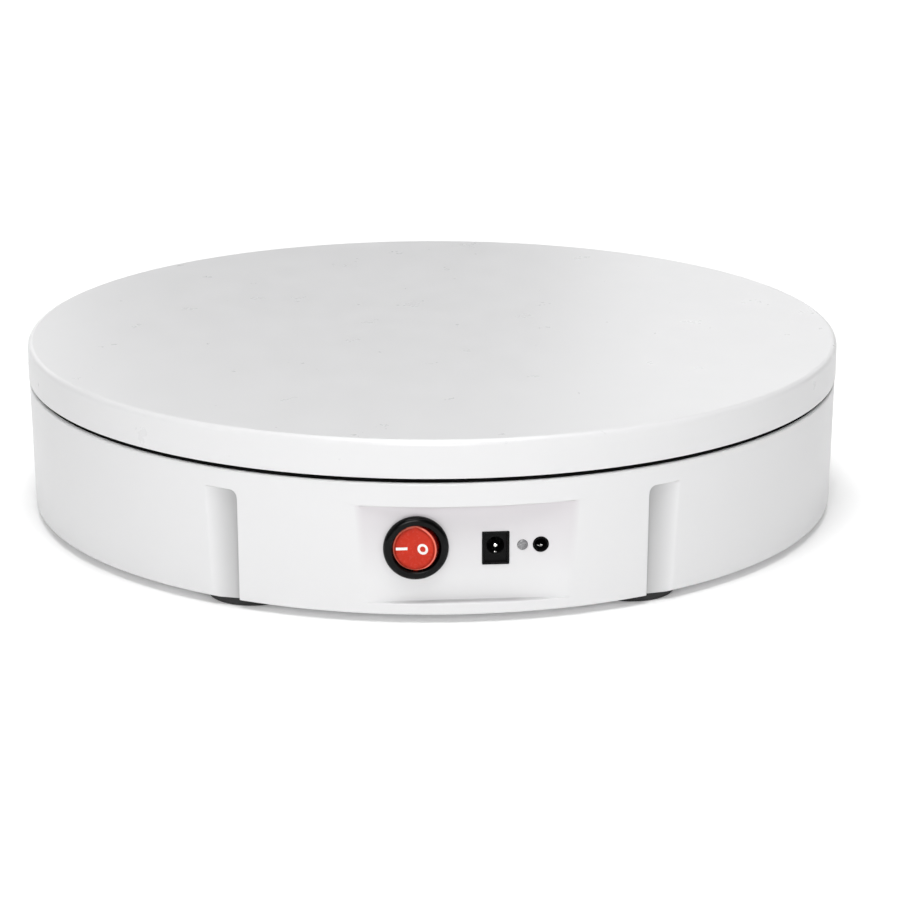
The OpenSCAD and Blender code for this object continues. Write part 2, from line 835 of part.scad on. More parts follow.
module bezel_profile() {
    polygon(concat(
        [[rocker_hole_r, 0]],
        [[bezel_r, 0]],
        arc([bezel_r - 1.6, bezel_h - 1.6], 1.6, 0, 80),
        arc([rocker_hole_r + 0.5, bezel_h - 0.5], 0.5, 100, 180)
    ));
}

module switch_housing() color("black") on_panel(switch_t, switch_z) difference() {
    union() {
        rotate_extrude() bezel_profile();
        ring(barrel_r, rocker_hole_r, -7, 0.2);
        disc(barrel_r, -24, -6.6);
        block(17, 13, -27, -23);
    }
    translate([0, 0, pivot_out]) rotate([90, 0, 0])
        cylinder(r = trunnion_r + fit, h = 2 * (barrel_r - 0.5), center = true);
}

// The rocker at rest in the on position: its left face is flush and its right face is raised.
module rocker_faces() {
    half = rocker_throw / 2;
    rotate([0, -half, 0])
        rotate([90, 0, 0])
            linear_extrude(height = 2 * rocker_r + 2, center = true)
                polygon([
                    [0, valley], [12, valley + 12 * tan(half)], [12, -rocker_back],
                    [-12, -rocker_back], [-12, valley + 12 * tan(half)]
                ]);
}

module rocker_mark_shapes(depth, height) {
    flush_z = valley * cos(rocker_throw / 2);
    translate([-5.1, 0, flush_z]) block(4.1, 1, -depth, height);
    rotate([0, -rocker_throw, 0])
        translate([3.3, 0, flush_z]) difference() {
            disc(1.95, -depth, height);
            disc(1.05, -depth - 1, height + 1);
        }
}

module switch_rocker() color("red") on_panel(switch_t, switch_z, pivot_out) difference() {
    union() {
        intersection() {
            sphere(r = rocker_r);
            rocker_faces();
        }
        rotate([90, 0, 0]) cylinder(r = trunnion_r, h = 2 * (barrel_r - 0.7), center = true);
    }
    rocker_mark_shapes(0.4, 1);
}

module rocker_marks() color("white") on_panel(switch_t, switch_z, pivot_out)
    rocker_mark_shapes(0.38, 0.04);

module switch_terminals() color("goldenrod") on_panel(switch_t, switch_z) {
    for (x = [-5, 5]) translate([x, 0, 0]) block(0.8, 4.8, -34, -27);
}

// ---------- Internal leads ----------

function unit(v) = v / norm(v);

// Direction of a route at its point i. The shorter neighbouring stretch counts for more.
function route_dir(p, i) =
    let (
        before = i == 0 ? p[1] - p[0] : p[i] - p[i - 1],
        after = i == len(p) - 1 ? before : p[i + 1] - p[i]
    )
    unit(before / (before * before) + after / (after * after));

// The point at u = 0 to 1 on the smooth curve from a route's point i to the next.
function curve_point(p, i, u) =
    let (reach = norm(p[i + 1] - p[i]), ease = u * u * (3 - 2 * u))
    (1 - ease) * p[i] + ease * p[i + 1]
        + u * (1 - u) * (1 - u) * reach * route_dir(p, i)
        - u * u * (1 - u) * reach * route_dir(p, i + 1);

function smooth_route(p, steps) =
    let (n = len(p) - 1)
    concat([for (i = [0:n - 1], k = [0:steps - 1]) curve_point(p, i, k / steps)], [p[n]]);

// A round lead of radius r swept along a route.
module lead(route, r, sides = 8) {
    p = smooth_route(route, 5);
    n = len(p) - 1;
    points = [
        for (i = [0:n])
            let (
                dir = i == 0 ? route_dir(route, 0)
                    : i == n ? route_dir(route, len(route) - 1)
                    : unit(p[i + 1] - p[i - 1]),
                side = unit(cross(dir, [0, 0, 1])),
                up = cross(side, dir)
            )
            for (k = [0:sides - 1])
                p[i] + r * (side * cos(360 * k / sides) + up * sin(360 * k / sides))
    ];
    walls = [
        for (i = [0:n - 1], k = [0:sides - 1])
            let (a = i * sides + k, b = i * sides + (k + 1) % sides)
            [a, b, b + sides, a + sides]
    ];
    polyhedron(
        points = points,
        faces = concat([[for (k = [sides - 1:-1:0]) k]], walls, [[for (k = [0:sides - 1]) n * sides + k]])
    );
}

// Where a lead meets a plug on the main board.
function plug_point(i, dx) =
    [board_pos.x + plug_x[i] + dx, board_pos.y + plug_y - 3, board_top + 3.4];

function plug_approach(i, dx, dist) = plug_point(i, dx) + [0, -dist, 0];

module switch_leads() color("red") {
    for (side = [-1, 1])
        lead([
            panel_point(switch_t + 5 * side, switch_z, -34),
            panel_point(switch_t + 5 * side, switch_z, -40),
            [-32 + 2 * side, -92, 22],
            [-44 + 2 * side, -60, 15],
            plug_approach(4, 1.5 * side, 14),
            plug_point(4, 1.5 * side)
        ], 0.9);
}

module power_leads() color("darkred") {
    for (side = [-1, 1])
        lead([
            panel_point(inlet_t + 1.5 * side, inlet_z - 4, -io_depth - io_t),
            panel_point(inlet_t + 1.5 * side, inlet_z - 4, -io_depth - io_t - 6),
            [-10 + 2 * side, -104, 15],
            [-52 + 2 * side, -58, 11],
            plug_approach(3, 1.5 * side, 14),
            plug_point(3, 1.5 * side)
        ], 0.9);
}

module signal_leads() color("gray") {
    for (k = [-1:1])
        lead([
            panel_point(window_t + 1.8 * k, small_parts_z - 6, -io_depth - io_t),
            panel_point(window_t + 1.8 * k, small_parts_z - 6, -io_depth - io_t - 6),
            [6 + 3 * k, -90, 22 + 2 * k],
                [-62 + 3 * k, -50, 19],
            plug_approach(2, 1.5 * k, 14),
            plug_point(2, 1.5 * k)
        ], 0.6);
}

module motor_leads() color("orange") {
    for (k = [0:3])
        lead([
            [-motor_w / 2 - 6.5, motor_y - 4.5 + 3 * k, deck_z - motor_l + 4],
            [-motor_w / 2 - 14, motor_y - 4.5 + 3 * k, deck_z - motor_l + 4],
            [-74 - 2 * k, 66 + k, 12],
            [-116 - 2 * k, 38 + k, 12],
            [-118 - 2 * k, -10 - 2 * k, 12],
            [-108, -30 - 2 * k, 13],
            plug_approach(0, -2.7 + 1.8 * k, 12),
            plug_point(0, -2.7 + 1.8 * k)
        ], 0.6);
}

// ---------- Assembly ----------

base_shell();
bottom_cover();
cover_screws();
rubber_feet();
chassis_deck();
deck_screws();
dust_ring();
bearing_housing();
housing_screws();
bearing_outer_race();
roller_brackets();
bracket_screws();
roller_axles();
motor_stator();
motor_front_cap();
motor_rear_cap();
motor_screws();
motor_socket();
main_board();
board_screws();
board_chips();
board_capacitors();
board_plugs();
heat_sink();
io_board();
io_board_screws();
power_inlet();
inlet_pin();
receiver_window();
receiver_chip();
trigger_socket();
trigger_contact();
switch_housing();
switch_terminals();
switch_leads();
power_leads();
signal_leads();
motor_leads();
platter();
track_ring();
ring_gear();
gear_screws();
spindle();
spindle_screws();
bearing_inner_race();
retaining_clip();
bearing_cage();
bearing_balls();
motor_shaft();
drive_pinion();
switch_rocker();
rocker_marks();
for (i = [1:roller_count])
    roller(i);
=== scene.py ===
"""Looks of the motorised display turntable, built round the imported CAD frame.

Shapes are written in millimetres, as in the CAD, and scaled to metres when a piece is made.
Azimuths are degrees from the front (-Y), positive towards +X.
"""

import json
from functools import reduce
from math import asin, atan2, cos, degrees, pi, radians, sin, sqrt, tan

import bmesh
import bpy
import numpy as np
from mathutils import Matrix, Vector


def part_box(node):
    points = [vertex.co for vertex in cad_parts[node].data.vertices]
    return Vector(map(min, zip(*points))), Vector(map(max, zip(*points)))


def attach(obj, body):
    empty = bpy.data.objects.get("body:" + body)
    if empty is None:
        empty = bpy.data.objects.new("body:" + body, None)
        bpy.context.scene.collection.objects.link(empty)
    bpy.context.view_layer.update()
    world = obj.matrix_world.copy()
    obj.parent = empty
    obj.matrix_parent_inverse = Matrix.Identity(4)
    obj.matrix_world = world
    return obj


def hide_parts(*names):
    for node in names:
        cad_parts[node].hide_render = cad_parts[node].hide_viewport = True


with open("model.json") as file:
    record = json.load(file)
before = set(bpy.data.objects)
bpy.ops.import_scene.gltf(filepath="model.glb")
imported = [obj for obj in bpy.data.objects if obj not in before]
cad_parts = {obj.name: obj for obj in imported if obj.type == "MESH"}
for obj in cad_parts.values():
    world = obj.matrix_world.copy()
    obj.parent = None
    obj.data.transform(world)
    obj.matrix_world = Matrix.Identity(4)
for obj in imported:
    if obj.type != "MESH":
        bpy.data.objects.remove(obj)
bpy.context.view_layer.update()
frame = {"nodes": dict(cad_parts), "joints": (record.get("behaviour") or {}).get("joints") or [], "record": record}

MM = 0.001

# ---------- Places taken from the frame ----------


def box_mm(node):
    low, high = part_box(node)
    return low / MM, high / MM


def mount(name):
    found = next(m for m in frame["record"]["mounts"] if m["name"] == name)
    return Vector(found["pos_m"]) / MM, Vector(found["axis"])


def joint(name):
    return next(j for j in frame["joints"] if j["name"] == name)


shell_low, shell_high = box_mm("base_shell")
platter_low, platter_high = box_mm("platter")
_, cover_high = box_mm("bottom_cover")
deck_low, _ = box_mm("chassis_deck")

RIM_Z = shell_low.z
SHELL_TOP = shell_high.z
SHELL_TOP_R = shell_high.x
PLATTER_R = platter_high.x
PLATTER_TOP = platter_high.z
SKIRT_Z = platter_low.z
DISC_Z = box_mm("track_ring")[1].z
LEDGE_Z = box_mm("dust_ring")[0].z

inlet_place, panel_normal = mount("power_inlet")
trigger_place, _ = mount("trigger_socket")
window_low, window_high = box_mm("receiver_window")
PANEL_AZ = degrees(atan2(panel_normal.x, -panel_normal.y))
INLET_OUT = 0.4                                # how far the inlet's frame stands out of the panel
PANEL_PLANE = inlet_place.dot(panel_normal) - INLET_OUT
panel_along = Vector((cos(radians(PANEL_AZ)), sin(radians(PANEL_AZ)), 0))


def on_panel(along, height, out=0):
    """The matrix that takes x along the panel, y up and z out of it to the frame, in mm."""
    place = panel_along * along + panel_normal * (PANEL_PLANE + out)
    place.z = height
    columns = Matrix((panel_along, Vector((0, 0, 1)), panel_normal)).transposed()
    return Matrix.Translation(place) @ columns.to_4x4()


rocker_joint = joint("rocker_tilt")
rocker_pivot = Vector(rocker_joint["pos_m"]) / MM
SWITCH_T = rocker_pivot.dot(panel_along)
SWITCH_Z = rocker_pivot.z
PIVOT_OUT = rocker_pivot.dot(panel_normal) - PANEL_PLANE
ROCKER_THROW = rocker_joint["range_deg"][1]
INLET_T = inlet_place.dot(panel_along)
INLET_Z = sum(v.z for v in box_mm("power_inlet")) / 2
SOCKET_Z = inlet_place.z
WINDOW_T = ((window_low + window_high) / 2).dot(panel_along)
SMALL_Z = trigger_place.z
TRIGGER_T = trigger_place.dot(panel_along)

# ---------- Sizes of the shapes ----------

# Base wall
RIM_R = 158.9
WALL_EDGE = 0.8
INNER_R = cover_high.x + 0.2
LIP_R = 158.4
COVER_TOP = RIM_Z + 2.5
BACKING_TOP = 46
WALL_T = 2.7

# Panel recess and grips
PANEL_Z0 = 7.3
PANEL_Z1 = 43
SHOULDER = 0.45
SIDE_BLEND = 0.35
PANEL_HALF_AZ = 13.3
GRIP_AZ = 27.35
GRIP_SWEEP = 4.9
GRIP_DEPTH = 3.6
GRIP_TOP = 44.4
GRIP_CORNER = 3
GRIP_EDGE = 0.25
DEEP = 99

# Panel parts
BARREL_R = 10
BEZEL_R = 11.6
BEZEL_H = 2.4
ROCKER_HOLE_R = 8.65
ROCKER_R = 8.4
ROCKER_VALLEY = 2.2
ROCKER_BACK = 3.5
INLET_W = 9.6
INLET_H = 12.1
INLET_DEPTH = 13
WINDOW_R = 1.85
TRIGGER_R = 2.8
TRIGGER_BORE = 1.8
SLIP = 0.2

FOOT_R = 17
FOOT_RING = 140
FOOT_AZIMUTHS = [-150.8, -90, -29.2, 29.2, 90, 150.8]
PILLAR_RING = 148
PILLAR_AZIMUTHS = [-120, -60, -20, 20, 60, 120, 180]

# ---------- Shape helpers ----------


def polar(radius, azimuth):
    return Vector((radius * sin(radians(azimuth)), -radius * cos(radians(azimuth)), 0))


def at_azimuth(azimuth, radius, height=0):
    place = polar(radius, azimuth)
    place.z = height
    return Matrix.Translation(place) @ Matrix.Rotation(radians(azimuth), 4, "Z")


def rounded(corners, steps=6, closed=True):
    """The polyline through corners (x, y, radius), each turned into an arc of its radius."""
    points = []
    for i, (x, y, radius) in enumerate(corners):
        here = Vector((x, y))
        if radius == 0 or (not closed and i in (0, len(corners) - 1)):
            points.append(here)
            continue
        before = (Vector(corners[i - 1][:2]) - here).normalized()
        after = (Vector(corners[(i + 1) % len(corners)][:2]) - here).normalized()
        half = before.angle(after) / 2
        centre = here + (before + after).normalized() * radius / sin(half)
        start = here + before * radius / tan(half) - centre
        end = here + after * radius / tan(half) - centre
        turn = pi - 2 * half
        for k in range(steps + 1):
            t = k / steps
            points.append(centre + (start * sin((1 - t) * turn) + end * sin(t * turn)) / sin(turn))
    return points


def add_rings(bm, rings, closed_rings, closed_loft, cap_ends):
    """Skins a list of rings, each a list of points, or one point where the skin ends in a pole."""
    made = [[bm.verts.new(p) for p in ring] for ring in rings]
    pairs = list(zip(made, made[1:]))
    if closed_loft:
        pairs.append((made[-1], made[0]))
    for a, b in pairs:
        count = max(len(a), len(b))
        for k in range(count if closed_rings else count - 1):
            n = (k + 1) % count
            corners = [a[k % len(a)], a[n % len(a)], b[n % len(b)], b[k % len(b)]]
            distinct = list(dict.fromkeys(corners))
            bm.faces.new(distinct)
    if cap_ends:
        for ring in (made[0], made[-1]):
            if len(ring) > 2:
                bm.faces.new(ring)


def add_revolve(bm, profile, matrix=Matrix(), segments=96, closed=True):
    """Turns a profile of (radius, height) points about z. A point on the axis becomes a pole."""
    rings = []
    for radius, height in profile:
        steps = segments if radius > 1e-6 else 1
        angles = [2 * pi * k / steps for k in range(steps)]
        rings.append([matrix @ Vector((radius * cos(a), radius * sin(a), height)) for a in angles])
    add_rings(bm, rings, True, closed, False)


def add_tube(bm, outer, inner, z0, z1, matrix=Matrix(), edge=0.2, segments=48):
    """A ring with small rounded edges."""
    corners = [(inner, z0, edge), (outer, z0, edge), (outer, z1, edge), (inner, z1, edge)]
    add_revolve(bm, rounded(corners, 3), matrix, segments)


def add_block(bm, size, centre, matrix=Matrix(), edge=0.3):
    """A box with rounded edges."""
    local = bmesh.new()
    bmesh.ops.create_cube(local, size=1, matrix=Matrix.Translation(centre) @ Matrix.Diagonal((*size, 1)))
    bmesh.ops.bevel(local, geom=local.edges[:], offset=edge, segments=3, profile=0.5, affect="EDGES")
    corners = [bm.verts.new(matrix @ v.co) for v in local.verts]
    for face in local.faces:
        bm.faces.new([corners[v.index] for v in face.verts])
    local.free()


def rectangle_ring(width, height, radius, level, steps=6, along=1):
    """Points of a rounded rectangle centred on z; along splits each straight side into equal stretches."""
    w, h = width / 2, height / 2
    outline = rounded([(w, h, radius), (-w, h, radius), (-w, -h, radius), (w, -h, radius)], steps)
    points = []
    for i, point in enumerate(outline):
        after = outline[(i + 1) % len(outline)]
        stretches = along if i % (steps + 1) == steps else 1
        points += [point.lerp(after, k / stretches) for k in range(stretches)]
    return [Vector((p.x, p.y, level)) for p in points]


def mesh_in_metres(name, bm):
    """The mesh of a bmesh in millimetres, with its normals outwards."""
    bmesh.ops.recalc_face_normals(bm, faces=bm.faces[:])
    bmesh.ops.scale(bm, vec=(MM, MM, MM), verts=bm.verts[:])
    mesh = bpy.data.meshes.new(name)
    bm.to_mesh(mesh)
    bm.free()
    return mesh


replaced_nodes = set()                         # CAD nodes that a piece stands for


def make_piece(name, bm, body, slot, replaced, sharp=35):
    """Turns a bmesh in millimetres into a piece that rides on a body and stands for one CAD node."""
    piece = bpy.data.objects.new(name, mesh_in_metres(name, bm))
    bpy.context.scene.collection.objects.link(piece)
    finish_piece(piece, sharp)
    piece.data.materials.append(LOOKS[slot])
    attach(piece, body)
    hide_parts(replaced)
    replaced_nodes.add(replaced)
    return piece


def finish_piece(piece, sharp):
    """Smooth shading that keeps flats flat and edges over the sharp angle crisp."""
    piece.data.shade_smooth()
    piece.data.set_sharp_from_angle(angle=radians(sharp))
    weighted = piece.modifiers.new("flat_normals", "WEIGHTED_NORMAL")
    weighted.keep_sharp = True


# ---------- Material helpers ----------


class Look:
    """A Principled material, with short calls for the nodes that feed it."""

    def __init__(self, name, **constants):
        self.material = bpy.data.materials.new(name)
        self.material.use_nodes = True
        self.nodes = self.material.node_tree.nodes
        self.links = self.material.node_tree.links
        self.shader = self.nodes["Principled BSDF"]
        self.place = self.nodes.new("ShaderNodeTexCoord").outputs["Object"]
        for socket, value in constants.items():
            self.shader.inputs[socket.replace("_", " ")].default_value = value

    def node(self, kind, inputs=None, **settings):
        made = self.nodes.new(kind)
        for key, value in settings.items():
            setattr(made, key, value)
        for key, value in (inputs or {}).items():
            if isinstance(value, bpy.types.NodeSocket):
                self.links.new(value, made.inputs[key])
            else:
                made.inputs[key].default_value = value
        return made

    def stretched(self, scale):
        """Object coordinates multiplied by a scale for each axis."""
        return self.node("ShaderNodeMapping", {"Vector": self.place, "Scale": scale}).outputs[0]

    def noise(self, scale, detail=3, roughness=0.5, vector=None):
        inputs = {"Vector": vector or self.place, "Scale": scale, "Detail": detail, "Roughness": roughness}
        return self.node("ShaderNodeTexNoise", inputs).outputs[0]

    def ranged(self, value, low, high, start=0.3, end=0.7):
        """A value taken from start..end to low..high."""
        inputs = {"Value": value, "From Min": start, "From Max": end, "To Min": low, "To Max": high}
        return self.node("ShaderNodeMapRange", inputs).outputs[0]

    def colours(self, value, dark, light, start=0.3, end=0.7):
        ramp = self.node("ShaderNodeValToRGB", {"Fac": value})
        for element, position, colour in zip(ramp.color_ramp.elements, (start, end), (dark, light)):
            element.position = position
            element.color = (*colour, 1)
        return ramp.outputs[0]

    def math(self, operation, a, b=0.0):
        return self.node("ShaderNodeMath", {0: a, 1: b}, operation=operation).outputs[0]

    def product(self, *values):
        return reduce(lambda a, b: self.math("MULTIPLY", a, b), values)

    def grip_shade_share(self):
        """Share of painted shade on the grip floors: 1 at a grip's deep side and 0 outside the grips, from the
        depth below the tapered wall.
        """
        x, y, z = self.node("ShaderNodeSeparateXYZ", {0: self.place}).outputs
        azimuth = self.math("ARCTAN2", self.math("ABSOLUTE", x), self.math("MULTIPLY", y, -1.0))
        past_edge = self.math("GREATER_THAN", azimuth, radians(GRIP_AZ - 0.05))
        before_end = self.math("LESS_THAN", azimuth, radians(GRIP_AZ + GRIP_SWEEP))
        squares = self.math("ADD", self.math("MULTIPLY", x, x), self.math("MULTIPLY", y, y))
        taper = (SHELL_TOP_R - RIM_R) / (SHELL_TOP - RIM_Z)
        wall = self.math("ADD", self.math("MULTIPLY", z, taper), (RIM_R - RIM_Z * taper) * MM)
        depth = self.math("SUBTRACT", wall, self.math("SQRT", squares))
        share = self.ranged(depth, 0, 1, 0.1 * MM, 0.75 * GRIP_DEPTH * MM)
        return self.product(share, past_edge, before_end)

    def panel_shade_shares(self):
        """Shares of painted shade: the panel darkens towards its top, as if shadowed by the overhang, and a dark
        painted line runs along the ledge below it in the middle.
        """
        z = self.node("ShaderNodeSeparateXYZ", {0: self.place}).outputs[2]
        out = self.node("ShaderNodeVectorMath", {0: self.place, 1: panel_normal}, operation="DOT_PRODUCT")
        along = self.node("ShaderNodeVectorMath", {0: self.place, 1: panel_along}, operation="DOT_PRODUCT")
        off = self.math("ABSOLUTE", self.math("SUBTRACT", out.outputs["Value"], PANEL_PLANE * MM))
        aside = self.math("ABSOLUTE", along.outputs["Value"])
        on_panel_plane = self.ranged(off, 1, 0, 0.1 * MM, 0.6 * MM)
        below_top = self.ranged(z, 1, 0, (PANEL_Z1 - 0.2) * MM, (PANEL_Z1 + 0.3) * MM)
        # painted shadow: the panel greys towards its top, under the recess's overhang
        top_shade = self.product(on_panel_plane, below_top, self.ranged(z, 0, 1, 16 * MM, 42 * MM))
        # painted shade: a dark line in the crease and on the ledge at the panel's foot
        below = self.ranged(z, 1, 0, (PANEL_Z0 + 0.1) * MM, (PANEL_Z0 + 0.4) * MM)
        above = self.ranged(z, 0, 1, (PANEL_Z0 - 0.2) * MM, (PANEL_Z0 - 0.05) * MM)
        near_panel = self.ranged(off, 1, 0, 1.4 * MM, 3.4 * MM)
        middle = self.ranged(aside, 1, 0, 16 * MM, 34 * MM)
        return top_shade, self.product(below, above, near_panel, middle)

    def mixed(self, share, under, colour):
        """The colour laid over another one, by a share of 0 to 1."""
        mix = self.node("ShaderNodeMix", {0: share}, data_type="RGBA")
        self.links.new(under, mix.inputs[6])
        mix.inputs[7].default_value = (*colour, 1)
        return mix.outputs[2]

    def feed(self, socket, value):
        self.links.new(value, self.shader.inputs[socket])

    def bump(self, height, distance, strength):
        """A bump whose height is a distance in metres."""
        inputs = {"Height": height, "Distance": distance, "Strength": strength}
        return self.node("ShaderNodeBump", inputs).outputs[0]


# ---------- Materials ----------


def white_abs(name, tint, roughness, shell=False):
    """Glossy white plastic with faint flow marks and orange peel. On the shell, shade is painted into the colour:
    the grip floors, the panel's upper part and a line along its ledge are darker.
    """
    look = Look(name, IOR=1.5)
    flow = look.noise(9, 4, 0.6)
    light = tuple(min(1, c * 1.012) for c in tint)
    white = look.colours(flow, tint, light)
    if shell:
        top_shade, crease = look.panel_shade_shares()
        # painted shade: the grip floors darken towards their deep side
        white = look.mixed(look.grip_shade_share(), white, tuple(c * 0.62 for c in tint))
        # painted shadow: the panel's upper part is greyer, as under the overhang
        white = look.mixed(top_shade, white, (0.65, 0.625, 0.645))
        # painted shade: a dark line along the ledge at the panel's foot
        white = look.mixed(crease, white, (0.42, 0.41, 0.42))
    look.feed("Base Color", white)
    look.feed("Roughness", look.ranged(look.noise(70, 5, 0.65), roughness - 0.03, roughness + 0.04))
    look.feed("Normal", look.bump(look.noise(220, 2), 0.000004, 0.15))
    return look.material


def moulded(name, dark, light, roughness, grain=1800, depth=0.00004, **constants):
    """Moulded plastic or rubber with an eroded grain."""
    look = Look(name, **constants)
    look.feed("Base Color", look.colours(look.noise(60, 5, 0.6), dark, light))
    pits = look.noise(grain, 3, 0.6)
    look.feed("Roughness", look.ranged(pits, roughness - 0.07, roughness + 0.07))
    look.feed("Normal", look.bump(pits, depth, 0.6))
    return look.material


def polished(name, dark, light, roughness, **constants):
    """Glossy plastic with soft flow variation and hairline marks."""
    look = Look(name, **constants)
    look.feed("Base Color", look.colours(look.noise(150, 4, 0.6), dark, light))
    hairs = look.noise(900, 6, 0.7, look.stretched((1, 1, 9)))
    look.feed("Roughness", look.ranged(hairs, roughness * 0.7, roughness * 1.4))
    look.feed("Normal", look.bump(look.noise(500, 2), 0.00001, 0.4))
    return look.material


def metal(name, dark, light, roughness, grain=(1, 1, 1), scale=500, depth=0.000015):
    """Metal with a grain that is stretched where the grain's scale is small."""
    look = Look(name, Metallic=1.0)
    lines = look.noise(scale, 5, 0.6, look.stretched(grain))
    look.feed("Base Color", look.colours(look.noise(90, 4, 0.6), dark, light))
    look.feed("Roughness", look.ranged(lines, roughness * 0.75, roughness * 1.3))
    look.feed("Normal", look.bump(lines, depth, 0.5))
    return look.material


def powder_coat(name, dark, light):
    """Powder paint: fine round pimples with a satin surface."""
    look = Look(name, Coat_Weight=0.15, Coat_Roughness=0.4)
    look.feed("Base Color", look.colours(look.noise(40, 4), dark, light))
    pimples = look.node("ShaderNodeTexVoronoi", {"Vector": look.place, "Scale": 1400}).outputs["Distance"]
    look.feed("Roughness", look.ranged(pimples, 0.42, 0.6))
    look.feed("Normal", look.bump(pimples, 0.00004, 0.5))
    return look.material


def solder_mask(name):
    """Green solder mask over copper tracks."""
    look = Look(name, Coat_Weight=0.6, Coat_Roughness=0.2)
    inputs = {"Vector": look.place, "Scale": 260, "Row Height": 0.35, "Brick Width": 1.4,
              "Mortar Size": 0.07, "Mortar Smooth": 0.3}
    tracks = look.node("ShaderNodeTexBrick", inputs)
    tracks.inputs["Color1"].default_value = (0.008, 0.13, 0.05, 1)
    tracks.inputs["Color2"].default_value = (0.01, 0.17, 0.065, 1)
    tracks.inputs["Mortar"].default_value = (0.004, 0.08, 0.03, 1)
    look.feed("Base Color", tracks.outputs["Color"])
    look.feed("Roughness", look.ranged(look.noise(700), 0.3, 0.45))
    look.feed("Normal", look.bump(tracks.outputs["Fac"], 0.00004, 0.7))
    return look.material


def laminated(name):
    """Stacked black laminations seen edge on, 0.5 mm each."""
    look = Look(name, Metallic=0.4)
    inputs = {"Vector": look.place, "Scale": 320, "Distortion": 0.05, "Detail": 1}
    sheets = look.node("ShaderNodeTexWave", inputs, bands_direction="Z").outputs[0]
    look.feed("Base Color", look.colours(sheets, (0.01, 0.01, 0.012), (0.07, 0.07, 0.075)))
    look.feed("Roughness", look.ranged(look.noise(600), 0.35, 0.6))
    look.feed("Normal", look.bump(sheets, 0.0001, 0.6))
    return look.material


def glowing_red(name):
    """Translucent red plastic, with a deep red painted shade on the ball's flank and a lighter painted highlight
    along the rounded rim, both read from vertex attributes.
    """
    look = Look(name, IOR=1.46, Specular_IOR_Level=0.25, Coat_Weight=0.1, Coat_Roughness=0.08,
                Subsurface_Weight=0.1, Subsurface_Scale=0.0008)
    look.shader.inputs["Subsurface Radius"].default_value = (1.0, 0.15, 0.08)
    face = look.colours(look.noise(140, 4, 0.6), (0.5, 0.018, 0.003), (0.6, 0.027, 0.006))
    painted_flank_shade = look.node("ShaderNodeAttribute", attribute_name="painted_flank_shade").outputs["Fac"]
    rim = look.node("ShaderNodeAttribute", attribute_name="rim").outputs["Fac"]
    # painted shade: the ball's flank is deep red
    deep = look.mixed(painted_flank_shade, face, (0.12, 0.003, 0.002))
    # painted highlight: a lighter red on the rim's rounding
    look.feed("Base Color", look.mixed(rim, deep, (0.85, 0.2, 0.14)))
    look.feed("Roughness", look.ranged(look.noise(800, 5, 0.7), 0.2, 0.32))
    look.feed("Normal", look.bump(look.noise(500, 2), 0.00001, 0.4))
    return look.material


def smoked(name):
    """Smoky translucent plastic of the receiver window."""
    look = Look(name, IOR=1.5, Transmission_Weight=0.35, Coat_Weight=0.5, Coat_Roughness=0.1)
    look.feed("Base Color", look.colours(look.noise(600, 4), (0.2, 0.2, 0.205), (0.42, 0.42, 0.43)))
    look.feed("Roughness", look.ranged(look.noise(1500), 0.18, 0.3))
    look.feed("Normal", look.bump(look.noise(900), 0.00001, 0.4))
    return look.material


